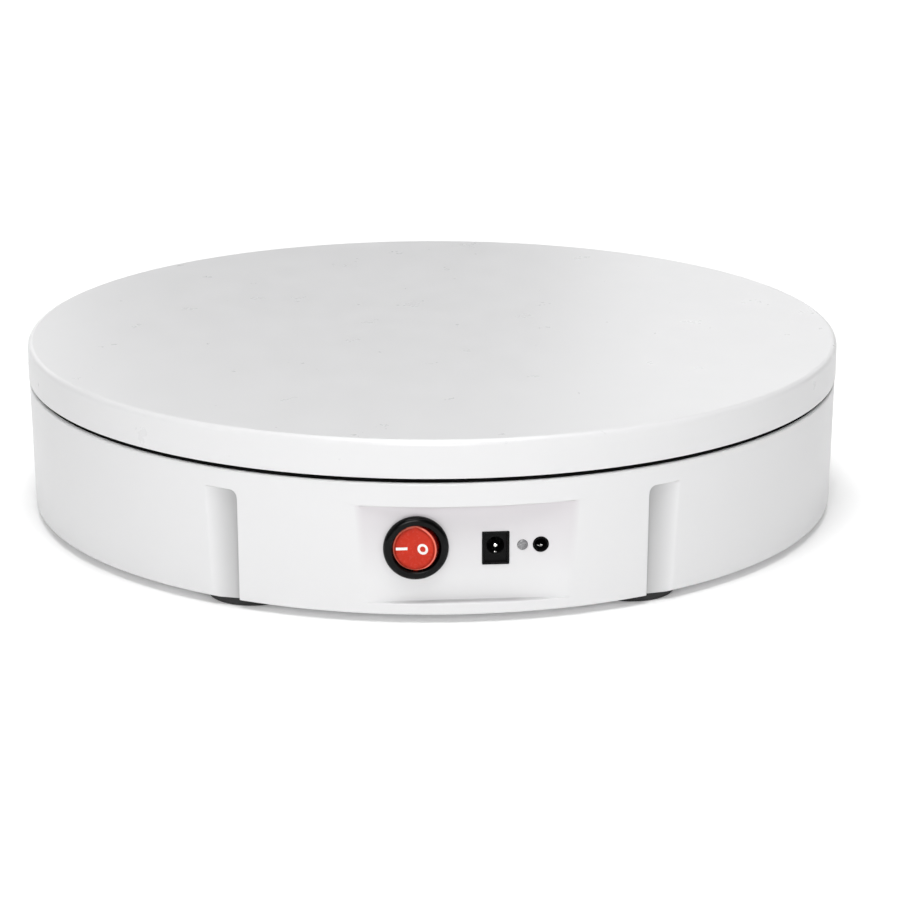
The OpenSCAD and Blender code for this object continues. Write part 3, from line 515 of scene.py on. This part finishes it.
STEEL_DARK, STEEL_LIGHT = (0.42, 0.43, 0.45), (0.6, 0.61, 0.63)
LOOKS = {
    "white_shell": white_abs("white_shell", (0.74, 0.74, 0.745), 0.34, True),
    "white_platter": white_abs("white_platter", (0.74, 0.74, 0.745), 0.3),
    "cover_plastic": moulded("cover_plastic", (0.55, 0.55, 0.56), (0.62, 0.62, 0.63), 0.55, 1500),
    "foot_rubber": moulded("foot_rubber", (0.012, 0.012, 0.012), (0.026, 0.026, 0.027), 0.75, 2600),
    # near-black foam: partly the seal's own colour, partly standing in for the shade in the platter gap
    "ring_foam": moulded(
        "ring_foam", (0.001, 0.001, 0.001), (0.004, 0.004, 0.004), 0.95, 1100, 0.0002, Specular_IOR_Level=0.1
    ),
    "deck_paint": powder_coat("deck_paint", (0.018, 0.018, 0.02), (0.03, 0.03, 0.033)),
    "zinc_screw": metal("zinc_screw", (0.48, 0.5, 0.54), (0.66, 0.67, 0.7), 0.28, (1, 1, 1), 1500),
    "cast_alloy": metal("cast_alloy", (0.42, 0.42, 0.43), (0.56, 0.56, 0.57), 0.45, (1, 1, 1), 900, 0.00005),
    "bearing_steel": metal(
        "bearing_steel", (0.6, 0.61, 0.63), (0.7, 0.71, 0.73), 0.12, (1, 1, 12), 900, 0.000004
    ),
    "cage_brass": metal("cage_brass", (0.55, 0.38, 0.15), (0.7, 0.52, 0.24), 0.3, (1, 1, 4), 700),
    "sheet_steel": metal("sheet_steel", STEEL_DARK, STEEL_LIGHT, 0.38, (1, 6, 1), 400),
    "turned_steel": metal("turned_steel", STEEL_DARK, (0.66, 0.67, 0.69), 0.25, (1, 1, 14), 700),
    "lamination": laminated("lamination"),
    "circuit_board": solder_mask("circuit_board"),
    "chip_epoxy": moulded("chip_epoxy", (0.012, 0.012, 0.013), (0.022, 0.022, 0.024), 0.6, 4000),
    "capacitor_sleeve": polished("capacitor_sleeve", (0.012, 0.018, 0.07), (0.02, 0.03, 0.11), 0.25),
    "plug_nylon": moulded("plug_nylon", (0.68, 0.66, 0.58), (0.76, 0.74, 0.67), 0.45, 2000, 0.00001),
    "heat_sink_alloy": metal("heat_sink_alloy", (0.2, 0.2, 0.21), (0.3, 0.3, 0.31), 0.5, (8, 1, 1), 500),
    "socket_black": moulded(
        "socket_black", (0.003, 0.003, 0.003), (0.006, 0.006, 0.0065), 0.3, 3000, 0.000004,
        Specular_IOR_Level=0.08
    ),
    "contact_metal": metal(
        "contact_metal", (0.7, 0.7, 0.68), (0.84, 0.84, 0.82), 0.16, (1, 1, 5), 1200, 0.000004
    ),
    "window_smoke": smoked("window_smoke"),
    "switch_black": polished(
        "switch_black", (0.002, 0.0022, 0.0022), (0.004, 0.0045, 0.0045), 0.16, Specular_IOR_Level=0.14
    ),
    "rocker_red": glowing_red("rocker_red"),
    "mark_white": moulded("mark_white", (0.84, 0.82, 0.8), (0.9, 0.89, 0.87), 0.45, 3500, 0.00001),
    "tab_brass": metal("tab_brass", (0.6, 0.5, 0.3), (0.75, 0.65, 0.42), 0.3, (1, 1, 5), 900),
    "lead_red": polished("lead_red", (0.4, 0.01, 0.01), (0.5, 0.02, 0.02), 0.4),
    "lead_black": polished("lead_black", (0.01, 0.01, 0.01), (0.02, 0.02, 0.02), 0.4),
    "lead_grey": polished("lead_grey", (0.16, 0.16, 0.17), (0.22, 0.22, 0.23), 0.4),
    "lead_orange": polished("lead_orange", (0.6, 0.16, 0.01), (0.7, 0.22, 0.02), 0.4),
    "acetal": moulded(
        "acetal", (0.7, 0.68, 0.6), (0.78, 0.76, 0.69), 0.4, 1600, 0.00001,
        Subsurface_Weight=0.1, Subsurface_Scale=0.002
    ),
    "roller_urethane": moulded("roller_urethane", (0.04, 0.045, 0.05), (0.06, 0.066, 0.072), 0.55, 1500),
}

# ---------- Base shell ----------


def wall_radius(height):
    """Radius of the tapered wall at a height."""
    t = (height - RIM_Z) / (SHELL_TOP - RIM_Z)
    return RIM_R + (SHELL_TOP_R - RIM_R) * t


def eased(depth, width):
    """Depth that turns softly to nothing below zero."""
    return (depth + np.sqrt(depth ** 2 + width ** 2)) / 2


def panel_depth(azimuth, radius):
    """How deep the panel's plane lies in a wall of this radius."""
    off = (azimuth - PANEL_AZ + 180) % 360 - 180
    ahead = np.cos(np.radians(np.clip(off, -60, 60)))
    depth = radius - PANEL_PLANE / ahead
    return np.where(depth > -8 * SIDE_BLEND, eased(depth, SIDE_BLEND), 0)


def grip_depth(azimuth, radius):
    """How deep a grip's flat floor lies in the wall, before its sharp edge cuts it off."""
    deep = polar(SHELL_TOP_R - GRIP_DEPTH, GRIP_AZ)
    faded = polar(SHELL_TOP_R, GRIP_AZ + GRIP_SWEEP)
    normal = Vector(((faded - deep).y, -(faded - deep).x))
    away = abs(normal.normalized().dot(deep.xy))
    facing = degrees(atan2(normal.x, -normal.y))
    off = np.abs((np.abs(azimuth) - facing + 180) % 360 - 180)
    depth = radius - away / np.cos(np.radians(np.clip(off, -60, 60)))
    return np.where((depth > -0.8) & (np.abs(azimuth) < 90), eased(depth, 0.08), 0)


def shell_columns():
    """(azimuth, deepest the grip may be there, distance inside the grip's sharp edge) for each column."""
    columns = [(float(a), None, None) for a in np.arange(-180, 180, 1.0)]
    for side_az in (PANEL_AZ - PANEL_HALF_AZ, PANEL_AZ + PANEL_HALF_AZ):
        columns += [(side_az + step, None, None) for step in np.arange(-1.8, 1.81, 0.24)]
    mm_in_degrees = degrees(1 / SHELL_TOP_R)
    edge_turns = [radians(a) for a in (0, 22, 45, 67, 90)]
    inside = [0, 0.08, 0.3, 0.6, 1.0, 1.5, 2.0, 2.5, *range(3, 13), 12.5, 13, 13.4, 13.8, 14.3]
    for side in (-1, 1):
        for turn in edge_turns:
            before = GRIP_EDGE * (1 - sin(turn))
            columns.append((side * (GRIP_AZ - before * mm_in_degrees), GRIP_EDGE * (1 - cos(turn)), 0))
        for distance in inside:
            columns.append((side * (GRIP_AZ + distance * mm_in_degrees), DEEP, distance))
    finished = []
    for azimuth, cap, inside_by in columns:
        if cap is None:
            in_grip = GRIP_AZ - 0.3 < abs(azimuth) < GRIP_AZ + GRIP_SWEEP + 0.4
            if in_grip:
                continue
            cap, inside_by = (DEEP, 50) if GRIP_AZ < abs(azimuth) < 90 else (0, 0)
        finished.append((azimuth, cap, inside_by))
    return sorted(finished, key=lambda c: (c[0], c[1] if c[0] > 0 else -c[1]))


def shoulder_rows(edge, inward):
    """Rows of (height, cap, shortfall) round the step at a recess's edge; inward is +1 at its bottom."""
    rows = []
    for turn in (0, 22, 45, 67, 90):
        a = radians(turn)
        rows.append((edge - inward * SHOULDER * (1 - sin(a)), SHOULDER * (1 - cos(a)), 0))
    for turn in (0, 30, 60, 90):
        a = radians(turn)
        rows.append((edge + inward * SHOULDER * (1 - cos(a)), DEEP, SHOULDER * (1 - sin(a))))
    return rows if inward > 0 else rows[::-1]


def shell_rows():
    """Outer rows from rim to top edge.

    Each is (height, set-back, panel cap, panel shortfall, grip cap, grip shortfall).
    """
    rows = []
    turns = [radians(90 * k / 6) for k in range(7)]
    for a in turns:
        rows.append((RIM_Z + WALL_EDGE * (1 - cos(a)), WALL_EDGE * (1 - sin(a)), 0, 0, DEEP, 0))
    rows.append((5.5, 0, 0, 0, DEEP, 0))
    for height, cap, short in shoulder_rows(PANEL_Z0, 1):
        rows.append((height, 0, cap, short, DEEP, 0))
    for height in np.linspace(PANEL_Z0 + 3, PANEL_Z1 - 3, 8):
        rows.append((height, 0, DEEP, 0, DEEP, 0))
    for height, cap, short in shoulder_rows(PANEL_Z1, -1):
        rows.append((height, 0, cap, short, DEEP, 0))
    for height, cap, short in shoulder_rows(GRIP_TOP, -1):
        rows.append((height, 0, 0, 0, cap, short))
    for height in (46, 48, 50):
        rows.append((height, 0, 0, 0, 0, 0))
    for a in turns:
        rows.append((SHELL_TOP - WALL_EDGE * (1 - sin(a)), WALL_EDGE * (1 - cos(a)), 0, 0, 0, 0))
    return rows


def shell_grid():
    """Rings of points round the section of the shell, one ring for each row."""
    columns = shell_columns()
    azimuth, grip_cap, grip_in = (np.array(c, float) for c in zip(*columns))
    corner = np.clip(GRIP_CORNER - grip_in, 0, GRIP_CORNER)
    corner = np.where((grip_cap > 0) & (np.abs(azimuth) < 90), corner, 0)
    dropped = GRIP_CORNER - np.sqrt(GRIP_CORNER ** 2 - corner ** 2)
    top = GRIP_TOP - dropped
    warp_low, warp_high = 30, 51

    def recess(height, panel_cap, panel_short, cap, short):
        radius = wall_radius(height)
        panel = np.clip(panel_depth(azimuth, radius) - panel_short, 0, panel_cap)
        grip = np.minimum(grip_depth(azimuth, radius), grip_cap)
        grip = np.clip(grip - short, 0, cap)
        return radius, np.maximum(panel, grip)

    rings = []
    for height, set_back, panel_cap, panel_short, cap, short in shell_rows():
        z = np.full(len(azimuth), float(height))
        if warp_low < height <= GRIP_TOP + SHOULDER:
            z = warp_low + (z - warp_low) * (top - warp_low) / (GRIP_TOP - warp_low)
        elif GRIP_TOP < height < warp_high:
            z = warp_high - (warp_high - z) * (warp_high - top) / (warp_high - GRIP_TOP)
        radius, depth = recess(z, panel_cap, panel_short, cap, short)
        rings.append((np.minimum(radius - set_back, radius - depth), z))

    middle, depth = recess(np.full(len(azimuth), 25.0), DEEP, 0, DEEP, 0)
    backed = np.minimum(INNER_R, middle - depth - WALL_T)
    plain = np.full(len(azimuth), INNER_R)
    lip = np.full(len(azimuth), LIP_R)
    inner = [(lip, SHELL_TOP), (lip, SHELL_TOP - 0.1), (lip, LEDGE_Z + 0.1), (lip, LEDGE_Z), (plain, LEDGE_Z),
             (plain, LEDGE_Z - 0.2), (plain, BACKING_TOP)]
    inner += [(backed, z) for z in (BACKING_TOP, 34, 25, 16, COVER_TOP)]
    inner += [(plain, COVER_TOP), (plain, RIM_Z + 0.2), (plain, RIM_Z)]
    rings += [(radius, np.full(len(azimuth), float(z))) for radius, z in inner]
    s, c = np.sin(np.radians(azimuth)), np.cos(np.radians(azimuth))
    return [np.column_stack((r * s, -r * c, z)) for r, z in rings]


def panel_cutters():
    """Solids of the four openings in the panel."""
    bm = bmesh.new()
    for along, height, radius in (
        (SWITCH_T, SWITCH_Z, BARREL_R), (WINDOW_T, SMALL_Z, WINDOW_R), (TRIGGER_T, SMALL_Z, TRIGGER_R)
    ):
        hole = radius + SLIP / 2
        add_revolve(bm, [(0, -9), (hole, -9), (hole, 4), (0, 4)], on_panel(along, height), 64, False)
    rings = [rectangle_ring(INLET_W + SLIP, INLET_H + SLIP, 0.3, z, 3) for z in (-9, 4)]
    place = on_panel(INLET_T, INLET_Z)
    add_rings(bm, [[place @ p for p in ring] for ring in rings], True, False, True)
    return bm


def cut(piece, cutters):
    """Takes the cutters, a bmesh in millimetres, out of a piece's mesh."""
    tool = bpy.data.objects.new("cutters", mesh_in_metres("cutters", cutters))
    bpy.context.scene.collection.objects.link(tool)
    boolean = piece.modifiers.new("cut", "BOOLEAN")
    boolean.object = tool
    boolean.operation = "DIFFERENCE"
    boolean.solver = "EXACT"
    depsgraph = bpy.context.evaluated_depsgraph_get()
    result = bpy.data.meshes.new_from_object(piece.evaluated_get(depsgraph))
    piece.modifiers.remove(boolean)
    piece.data = result
    bpy.data.objects.remove(tool)


def join(piece, extra):
    """Adds a bmesh in millimetres to a piece's mesh, whose points are rounded in millimetres first."""
    both = bmesh.new()
    both.from_mesh(piece.data)
    for factor in (1 / MM, MM):                # this rounding decides how a few faces are split
        bmesh.ops.scale(both, vec=(factor, factor, factor), verts=both.verts[:])
    both.from_mesh(mesh_in_metres("extra", extra))
    both.to_mesh(piece.data)
    both.free()


def add_pillars(bm):
    """Screw pillars under the deck, each with a rib to the wall, and the small board's two bosses."""
    for azimuth in PILLAR_AZIMUTHS:
        place = at_azimuth(azimuth, PILLAR_RING)
        add_tube(bm, 4.5, 1.5, COVER_TOP, deck_low.z + 4, place, 0.3)
        add_block(bm, (3, 5.5, 31), (0, -6.4, 21.5), place, 0.4)
    for along in (-1, 34):
        add_tube(bm, 2.5, 1.05, -INLET_DEPTH, -WALL_T + 0.3, on_panel(along, 21), 0.2, 32)


def shell_skin():
    """The base shell: its wall is skinned and cut, and the pillars are added to it."""
    bm = bmesh.new()
    add_rings(bm, [[Vector(p) for p in ring] for ring in shell_grid()], True, True, False)
    piece = make_piece("shell_skin", bm, "base", "white_shell", "base_shell")
    piece.modifiers.clear()
    cut(piece, panel_cutters())
    pillars = bmesh.new()
    add_pillars(pillars)
    join(piece, pillars)
    finish_piece(piece, 30)
    return piece


# ---------- Platter ----------


def platter_skin():
    bm = bmesh.new()
    profile = rounded([
        (0, DISC_Z, 0), (PLATTER_R - 3, DISC_Z, 1), (PLATTER_R - 3, SKIRT_Z, 0.5),
        (PLATTER_R, SKIRT_Z, 0.5), (PLATTER_R, PLATTER_TOP, 2.2), (0, PLATTER_TOP, 0)
    ], 10, False)
    add_revolve(bm, profile, Matrix(), 480, False)
    for k in range(12):
        turn = Matrix.Rotation(radians(30 * k + 15), 4, "Z")
        add_block(bm, (33, 2.4, 4), (113.5, 0, DISC_Z - 1.5), turn, 0.5)
    return make_piece("platter_skin", bm, "platter", "white_platter", "platter")


def dust_seal():
    """Foam ring in the gap between platter and base. It is a real seal, and its near-black colour also stands in
    for the shade in that gap.
    """
    low, high = box_mm("dust_ring")
    corners = [(153.5, low.z, 0.2), (high.x, low.z, 0.2), (high.x, high.z, 0.6), (153.5, high.z, 0.6)]
    bm = bmesh.new()
    add_revolve(bm, rounded(corners, 4), Matrix(), 360)
    return make_piece("dust_seal", bm, "base", "ring_foam", "dust_ring")


def foot_pads():
    """Rubber feet with two shallow grooves in the sole and a spigot in the cover."""
    profile = rounded([
        (0, 0, 0), (4.6, 0, 0.2), (4.8, 0.5, 0.15), (5.8, 0.5, 0.15), (6, 0, 0.2), (9.6, 0, 0.2),
        (9.8, 0.5, 0.15), (10.8, 0.5, 0.15), (11, 0, 0.2), (FOOT_R - 0.4, 0, 0.8), (FOOT_R, RIM_Z, 0.3),
        (4, RIM_Z, 0.1), (4, RIM_Z + 1.5, 0.3), (0, RIM_Z + 1.5, 0)
    ], 4, False)
    bm = bmesh.new()
    for azimuth in FOOT_AZIMUTHS:
        add_revolve(bm, profile, at_azimuth(azimuth, FOOT_RING), 72, False)
    return make_piece("foot_pads", bm, "base", "foot_rubber", "rubber_feet")


# ---------- Switch ----------


def switch_bezel():
    place = on_panel(SWITCH_T, SWITCH_Z)
    hole = ROCKER_HOLE_R
    bm = bmesh.new()
    corners = [
        (0, -24, 0), (BARREL_R, -24, 0.5), (BARREL_R, 0, 0.05), (BEZEL_R, 0, 0.25), (BEZEL_R, BEZEL_H, 1.7),
        (hole, BEZEL_H, 0.45), (hole, -7, 0.5), (0, -7, 0)
    ]
    add_revolve(bm, rounded(corners, 8, False), place, 160, False)
    add_block(bm, (17, 13, 3.4), (0, 0, -25.3), place, 0.5)
    return make_piece("switch_bezel", bm, "base", "switch_black", "switch_housing")


def rocker_face_point(angle, share):
    """A point of the V-shaped face, at a share of the way from the middle to the ball's edge."""
    slope = tan(radians(ROCKER_THROW / 2)) * abs(cos(angle))
    a, b, c = 1 + slope ** 2, 2 * ROCKER_VALLEY * slope, ROCKER_VALLEY ** 2 - ROCKER_R ** 2
    edge = (-b + sqrt(b * b - 4 * a * c)) / (2 * a)
    reach = edge * share
    crease = 0.25
    across = sqrt((reach * cos(angle)) ** 2 + crease ** 2) - crease * 0.5
    return Vector((
        reach * cos(angle), reach * sin(angle), ROCKER_VALLEY + across * tan(radians(ROCKER_THROW / 2))
    ))


def rocker_tilted():
    """The rocker's own frame, at rest with its left face level with the panel."""
    return on_panel(SWITCH_T, SWITCH_Z, PIVOT_OUT) @ Matrix.Rotation(radians(-ROCKER_THROW / 2), 4, "Y")


def rocker_skin():
    """A ball whose front is cut to a V, with a rounded rim, and two trunnions."""
    place = rocker_tilted()
    count = 144
    angles = [2 * pi * k / count for k in range(count)]
    rim = 0.55
    rings = [[Vector((0, 0, rocker_face_point(0, 0).z))]]
    for share in (0.06, 0.15, 0.3, 0.45, 0.6, 0.75, 0.88, 0.93):
        rings.append([rocker_face_point(a, share) for a in angles])
    edge_points = [rocker_face_point(a, 1) for a in angles]
    back = asin(-ROCKER_BACK / ROCKER_R)
    for k in range(7):
        t = k / 6
        ring = []
        for a, edge in zip(angles, edge_points):
            inner = rocker_face_point(a, 1 - 2 * rim / ROCKER_R)
            lowered = asin(edge.z / ROCKER_R) - 2 * rim / ROCKER_R
            outer = Vector((cos(a) * cos(lowered), sin(a) * cos(lowered), sin(lowered))) * ROCKER_R
            corner = edge * 0.998
            ring.append(inner * (1 - t) ** 2 + corner * (2 * t * (1 - t)) + outer * t ** 2)
        rings.append(ring)
    face_rings = len(rings)
    for k in range(1, 13):
        ring = []
        for a, edge in zip(angles, edge_points):
            start = asin(edge.z / ROCKER_R) - 2 * rim / ROCKER_R
            level = start + (back - start) * k / 12
            ring.append(Vector((cos(a) * cos(level), sin(a) * cos(level), sin(level))) * ROCKER_R)
        rings.append(ring)
    rings.append([Vector((0, 0, -ROCKER_BACK))])
    bm = bmesh.new()
    add_rings(bm, [[place @ p for p in ring] for ring in rings], True, False, False)
    # vertex attributes for the painted shade on the flank and the painted highlight on the rim's rounding
    painted_flank_shade = bm.verts.layers.float.new("painted_flank_shade")
    edge_light = bm.verts.layers.float.new("rim")
    bm.verts.ensure_lookup_table()
    for i, vert in enumerate(bm.verts):
        ring_number = (i - 1) // count
        # painted shade on the outer rings of the ball
        vert[painted_flank_shade] = 1 if ring_number >= face_rings - 3 else 0
        # painted highlight on two rings of the rim's rounding
        vert[edge_light] = 1 if face_rings - 5 <= ring_number <= face_rings - 4 else 0
    pin = place @ Matrix.Rotation(radians(90), 4, "X")
    profile = rounded([(0, -9.3, 0), (1, -9.3, 0.2), (1, 9.3, 0.2), (0, 9.3, 0)], 3, False)
    add_revolve(bm, profile, pin, 32, False)
    return make_piece("rocker_skin", bm, "rocker", "rocker_red", "switch_rocker")


def switch_marks():
    """The bar on the left face and the ring on the right one."""
    half = radians(ROCKER_THROW / 2)
    level = ROCKER_VALLEY * cos(half)
    bm = bmesh.new()
    left = rocker_tilted() @ Matrix.Rotation(half, 4, "Y")
    add_block(bm, (4.1, 1, 0.4), (-5.1, 0, level - 0.15), left, 0.04)
    right = rocker_tilted() @ Matrix.Rotation(-half, 4, "Y") @ Matrix.Translation((3.3, 0, level))
    add_tube(bm, 1.95, 1.05, -0.35, 0.05, right, 0.04, 64)
    return make_piece("switch_marks", bm, "rocker", "mark_white", "rocker_marks")


# ---------- Sockets ----------


def inlet_body():
    """Square-fronted socket: bevelled frame, sunk face and a round barrel space."""
    steps, along = 4, 14
    place = on_panel(INLET_T, INLET_Z)
    barrel = SOCKET_Z - INLET_Z
    spots = rectangle_ring(INLET_W, INLET_H, 0.5, 0, steps, along)

    def frame_ring(inset, corner, level):
        return rectangle_ring(INLET_W - 2 * inset, INLET_H - 2 * inset, corner, level, steps, along)

    def round_ring(radius, level):
        turns = [atan2(p.y - barrel, p.x) for p in spots]
        return [Vector((radius * cos(a), barrel + radius * sin(a), level)) for a in turns]

    rings = [
        frame_ring(0.2, 0.3, -INLET_DEPTH), frame_ring(0, 0.4, -INLET_DEPTH + 0.2), frame_ring(0, 0.4, 0.15),
        frame_ring(0.08, 0.4, 0.33), frame_ring(0.25, 0.35, INLET_OUT), frame_ring(0.55, 0.3, INLET_OUT),
        frame_ring(0.7, 0.25, 0.3), frame_ring(0.78, 0.25, 0.1), frame_ring(0.8, 0.25, -0.9),
        frame_ring(0.88, 0.25, -1), frame_ring(1.2, 0.25, -1), round_ring(3.25, -1), round_ring(3.12, -1.1),
        round_ring(3.1, -1.3), round_ring(3.1, -10), [Vector((0, barrel, -10))]
    ]
    bm = bmesh.new()
    made = [[place @ p for p in ring] for ring in rings]
    add_rings(bm, [[place @ Vector((0, 0, -INLET_DEPTH))]] + made, True, False, False)
    return make_piece("inlet_body", bm, "base", "socket_black", "power_inlet")


def inlet_contact():
    """The centre pin, and the sleeve contact's leaf along the bottom of the barrel space."""
    place = on_panel(INLET_T, SOCKET_Z)
    profile = rounded([
        (0, -12.9, 0), (0.9, -12.9, 0.1), (0.9, -0.95, 0.55), (0.3, -0.9, 0.1), (0.3, -2, 0), (0, -2, 0)
    ], 5, False)
    bm = bmesh.new()
    add_revolve(bm, profile, place, 48, False)
    add_block(bm, (1.2, 0.5, 5), (0, -2.75, -4.2), place, 0.2)
    return make_piece("inlet_contact", bm, "base", "contact_metal", "inlet_pin")


def window_lens():
    """Domed window with the flange that holds it behind the panel."""
    place = on_panel(WINDOW_T, SMALL_Z)
    dome = [(WINDOW_R * cos(radians(a)), 0.05 + 0.45 * sin(radians(a))) for a in range(0, 81, 10)]
    flange = [(0, -4.2), (2.4, -4.2), (2.5, -4.1), (2.5, -2.85), (2.4, -2.75), (WINDOW_R, -2.75)]
    bm = bmesh.new()
    add_revolve(bm, flange + dome + [(0, 0.5)], place, 72, False)
    return make_piece("window_lens", bm, "base", "window_smoke", "receiver_window", 50)


def trigger_body():
    """Small round socket: a bushing, whose mouth tapers to the bore, in front of a square body."""
    place = on_panel(TRIGGER_T, SMALL_Z)
    bore = TRIGGER_BORE
    profile = rounded([
        (0, -12, 0), (TRIGGER_R, -12, 0.2), (TRIGGER_R, 0.3, 0.2), (2.3, 0.3, 0.08), (bore, -2.9, 0.1),
        (bore, -3.5, 0.05), (2.3, -3.5, 0.05), (2.3, -4.5, 0.05), (bore, -4.5, 0.05),
        (bore, -11.8, 0), (0, -11.8, 0)
    ], 4, False)
    bm = bmesh.new()
    add_revolve(bm, profile, place, 72, False)
    for side in (-1, 1):
        add_block(bm, (1.3, 9, 10.2), (side * 2.55, 0, -7.9), place, 0.25)
        add_block(bm, (6.4, 2.5, 10.2), (0, side * 3.25, -7.9), place, 0.25)
    return make_piece("trigger_body", bm, "base", "socket_black", "trigger_socket")


def trigger_ring():
    """Contact ring whose lowest stretch is dented into the bore, where it would press on a plug."""
    bm = bmesh.new()
    add_tube(bm, 2.25, TRIGGER_BORE + 0.02, -4.45, -3.55, Matrix(), 0.1, 64)
    for vert in bm.verts:
        radius = vert.co.xy.length
        dent = max(0, -vert.co.y / radius - 0.75) / 0.25
        if radius < 2:
            vert.co.xy *= 1 - 0.28 * dent
            vert.co.z -= 0.16 * dent
    bm.transform(on_panel(TRIGGER_T, SMALL_Z))
    return make_piece("trigger_ring", bm, "base", "contact_metal", "trigger_contact")


# ---------- CAD nodes that stay ----------

BEVELLED = {
    "bottom_cover": 0.25, "chassis_deck": 0.3, "roller_brackets": 0.2, "heat_sink": 0.15, "board_chips": 0.15,
    "board_plugs": 0.2, "motor_socket": 0.2, "main_board": 0.15, "io_board": 0.15, "switch_terminals": 0.1,
}


def dress_nodes():
    """Gives every CAD node that stays its slot's material and smooth shading, and the listed ones small edge
    bevels.
    """
    slots = {s["node"]: s["material_slot"] for s in frame["record"]["subparts"]}
    for name, piece in frame["nodes"].items():
        if name in replaced_nodes:
            continue
        piece.data.materials.clear()
        piece.data.materials.append(LOOKS[slots[name]])
        piece.data.shade_smooth()
        piece.data.set_sharp_from_angle(angle=radians(30))
        if name in BEVELLED:
            bevel = piece.modifiers.new("edges", "BEVEL")
            bevel.width = BEVELLED[name] * MM
            bevel.segments = 2
            bevel.limit_method = "ANGLE"
            bevel.angle_limit = radians(50)
            bevel.harden_normals = True


# ---------- Studio ----------


def plain_look(name, colour, roughness, glow):
    """Matte paper, see-through from behind. It glows a little, and more far from the part."""
    look = Look(name)
    distance = look.node("ShaderNodeVectorMath", {0: look.place}, operation="LENGTH").outputs["Value"]
    look.feed("Emission Strength", look.ranged(distance, glow, 0.95, 0.6, 1.5))
    look.shader.inputs["Emission Color"].default_value = (1, 1, 1, 1)
    look.shader.inputs["Specular IOR Level"].default_value = 0.1
    look.feed("Base Color", look.colours(look.noise(30), tuple(c * 0.995 for c in colour), colour))
    look.feed("Roughness", look.ranged(look.noise(300), roughness - 0.03, roughness + 0.03))
    behind = look.node("ShaderNodeNewGeometry").outputs["Backfacing"]
    clear = look.node("ShaderNodeBsdfTransparent").outputs[0]
    mixed = look.node("ShaderNodeMixShader", {0: behind, 1: look.shader.outputs[0], 2: clear})
    look.links.new(mixed.outputs[0], look.nodes["Material Output"].inputs["Surface"])
    return look.material


def floor():
    """A sheet 0.05 mm below the soles, so that it doesn't share their plane."""
    bm = bmesh.new()
    lower = Matrix.Translation((0, 0, -0.05 * MM))
    bmesh.ops.create_grid(bm, x_segments=4, y_segments=4, size=4, matrix=lower)
    mesh = bpy.data.meshes.new("floor")
    bm.to_mesh(mesh)
    bm.free()
    made = bpy.data.objects.new("floor", mesh)
    bpy.context.scene.collection.objects.link(made)
    mesh.materials.append(plain_look("floor_paper", (0.93, 0.93, 0.93), 0.85, 0.12))


def area_light(name, place, size, power, target=(0, 0, 0.05)):
    data = bpy.data.lights.new(name, "AREA")
    data.shape = "RECTANGLE"
    data.size, data.size_y = size
    data.energy = power
    made = bpy.data.objects.new(name, data)
    made.location = place
    made.rotation_euler = (Vector(target) - Vector(place)).to_track_quat("-Z", "Y").to_euler()
    bpy.context.scene.collection.objects.link(made)
    return made


def studio():
    """Soft lights round the part, and a world that is white to the camera and dim as a light.

    The back lights aren't mirrored in the platter's top. The cards are, and light nothing.
    """
    scene = bpy.context.scene
    scene.view_settings.view_transform = "Standard"
    world = bpy.data.worlds.new("studio")
    world.use_nodes = True
    background = world.node_tree.nodes["Background"]
    background.inputs["Color"].default_value = (1, 1, 1, 1)
    seen = world.node_tree.nodes.new("ShaderNodeLightPath").outputs["Is Camera Ray"]
    strength = world.node_tree.nodes.new("ShaderNodeMapRange")
    strength.inputs["To Min"].default_value = 0.04
    world.node_tree.links.new(seen, strength.inputs["Value"])
    world.node_tree.links.new(strength.outputs[0], background.inputs["Strength"])
    scene.world = world
    area_light("top", (0.0, -0.55, 1.9), (1.2, 1.1), 27, (0, 0, 0))
    area_light("top_back", (0.0, 0.8, 1.9), (1.2, 1.1), 10, (0, 0, 0))
    area_light("front", (-0.1, -2.2, 0.9), (0.9, 0.9), 23)
    area_light("left", (-2.0, -0.9, 1.0), (0.8, 0.8), 1.5)
    area_light("back_right", (1.1, 2.6, 0.8), (1.2, 0.9), 7).visible_glossy = False
    area_light("back_left", (-1.1, 2.6, 0.8), (1.0, 0.9), 34).visible_glossy = False
    area_light("card_right", (1.2, 2.6, 0.8), (2.0, 1.0), 6.3).visible_diffuse = False
    area_light("card_left", (-1.35, 2.6, 0.8), (2.0, 1.0), 6.3).visible_diffuse = False
    floor()


def camera():
    """The photo's view: 15.465 degrees down, and 1.9 degrees to the right."""
    data = bpy.data.cameras.new("camera")
    data.lens = 117.47
    data.shift_y = -0.0655
    data.clip_end = 50
    made = bpy.data.objects.new("camera", data)
    made.location = (-0.030652, -1.135350, 0.355320)
    made.rotation_euler = (radians(90 - 15.465), 0, radians(-1.9))
    bpy.context.scene.collection.objects.link(made)
    bpy.context.scene.camera = made


# ---------- Assembly ----------

camera()
studio()
for make in (
    shell_skin, platter_skin, dust_seal, foot_pads, switch_bezel, rocker_skin, switch_marks,
    inlet_body, inlet_contact, window_lens, trigger_body, trigger_ring
):
    make()
dress_nodes()
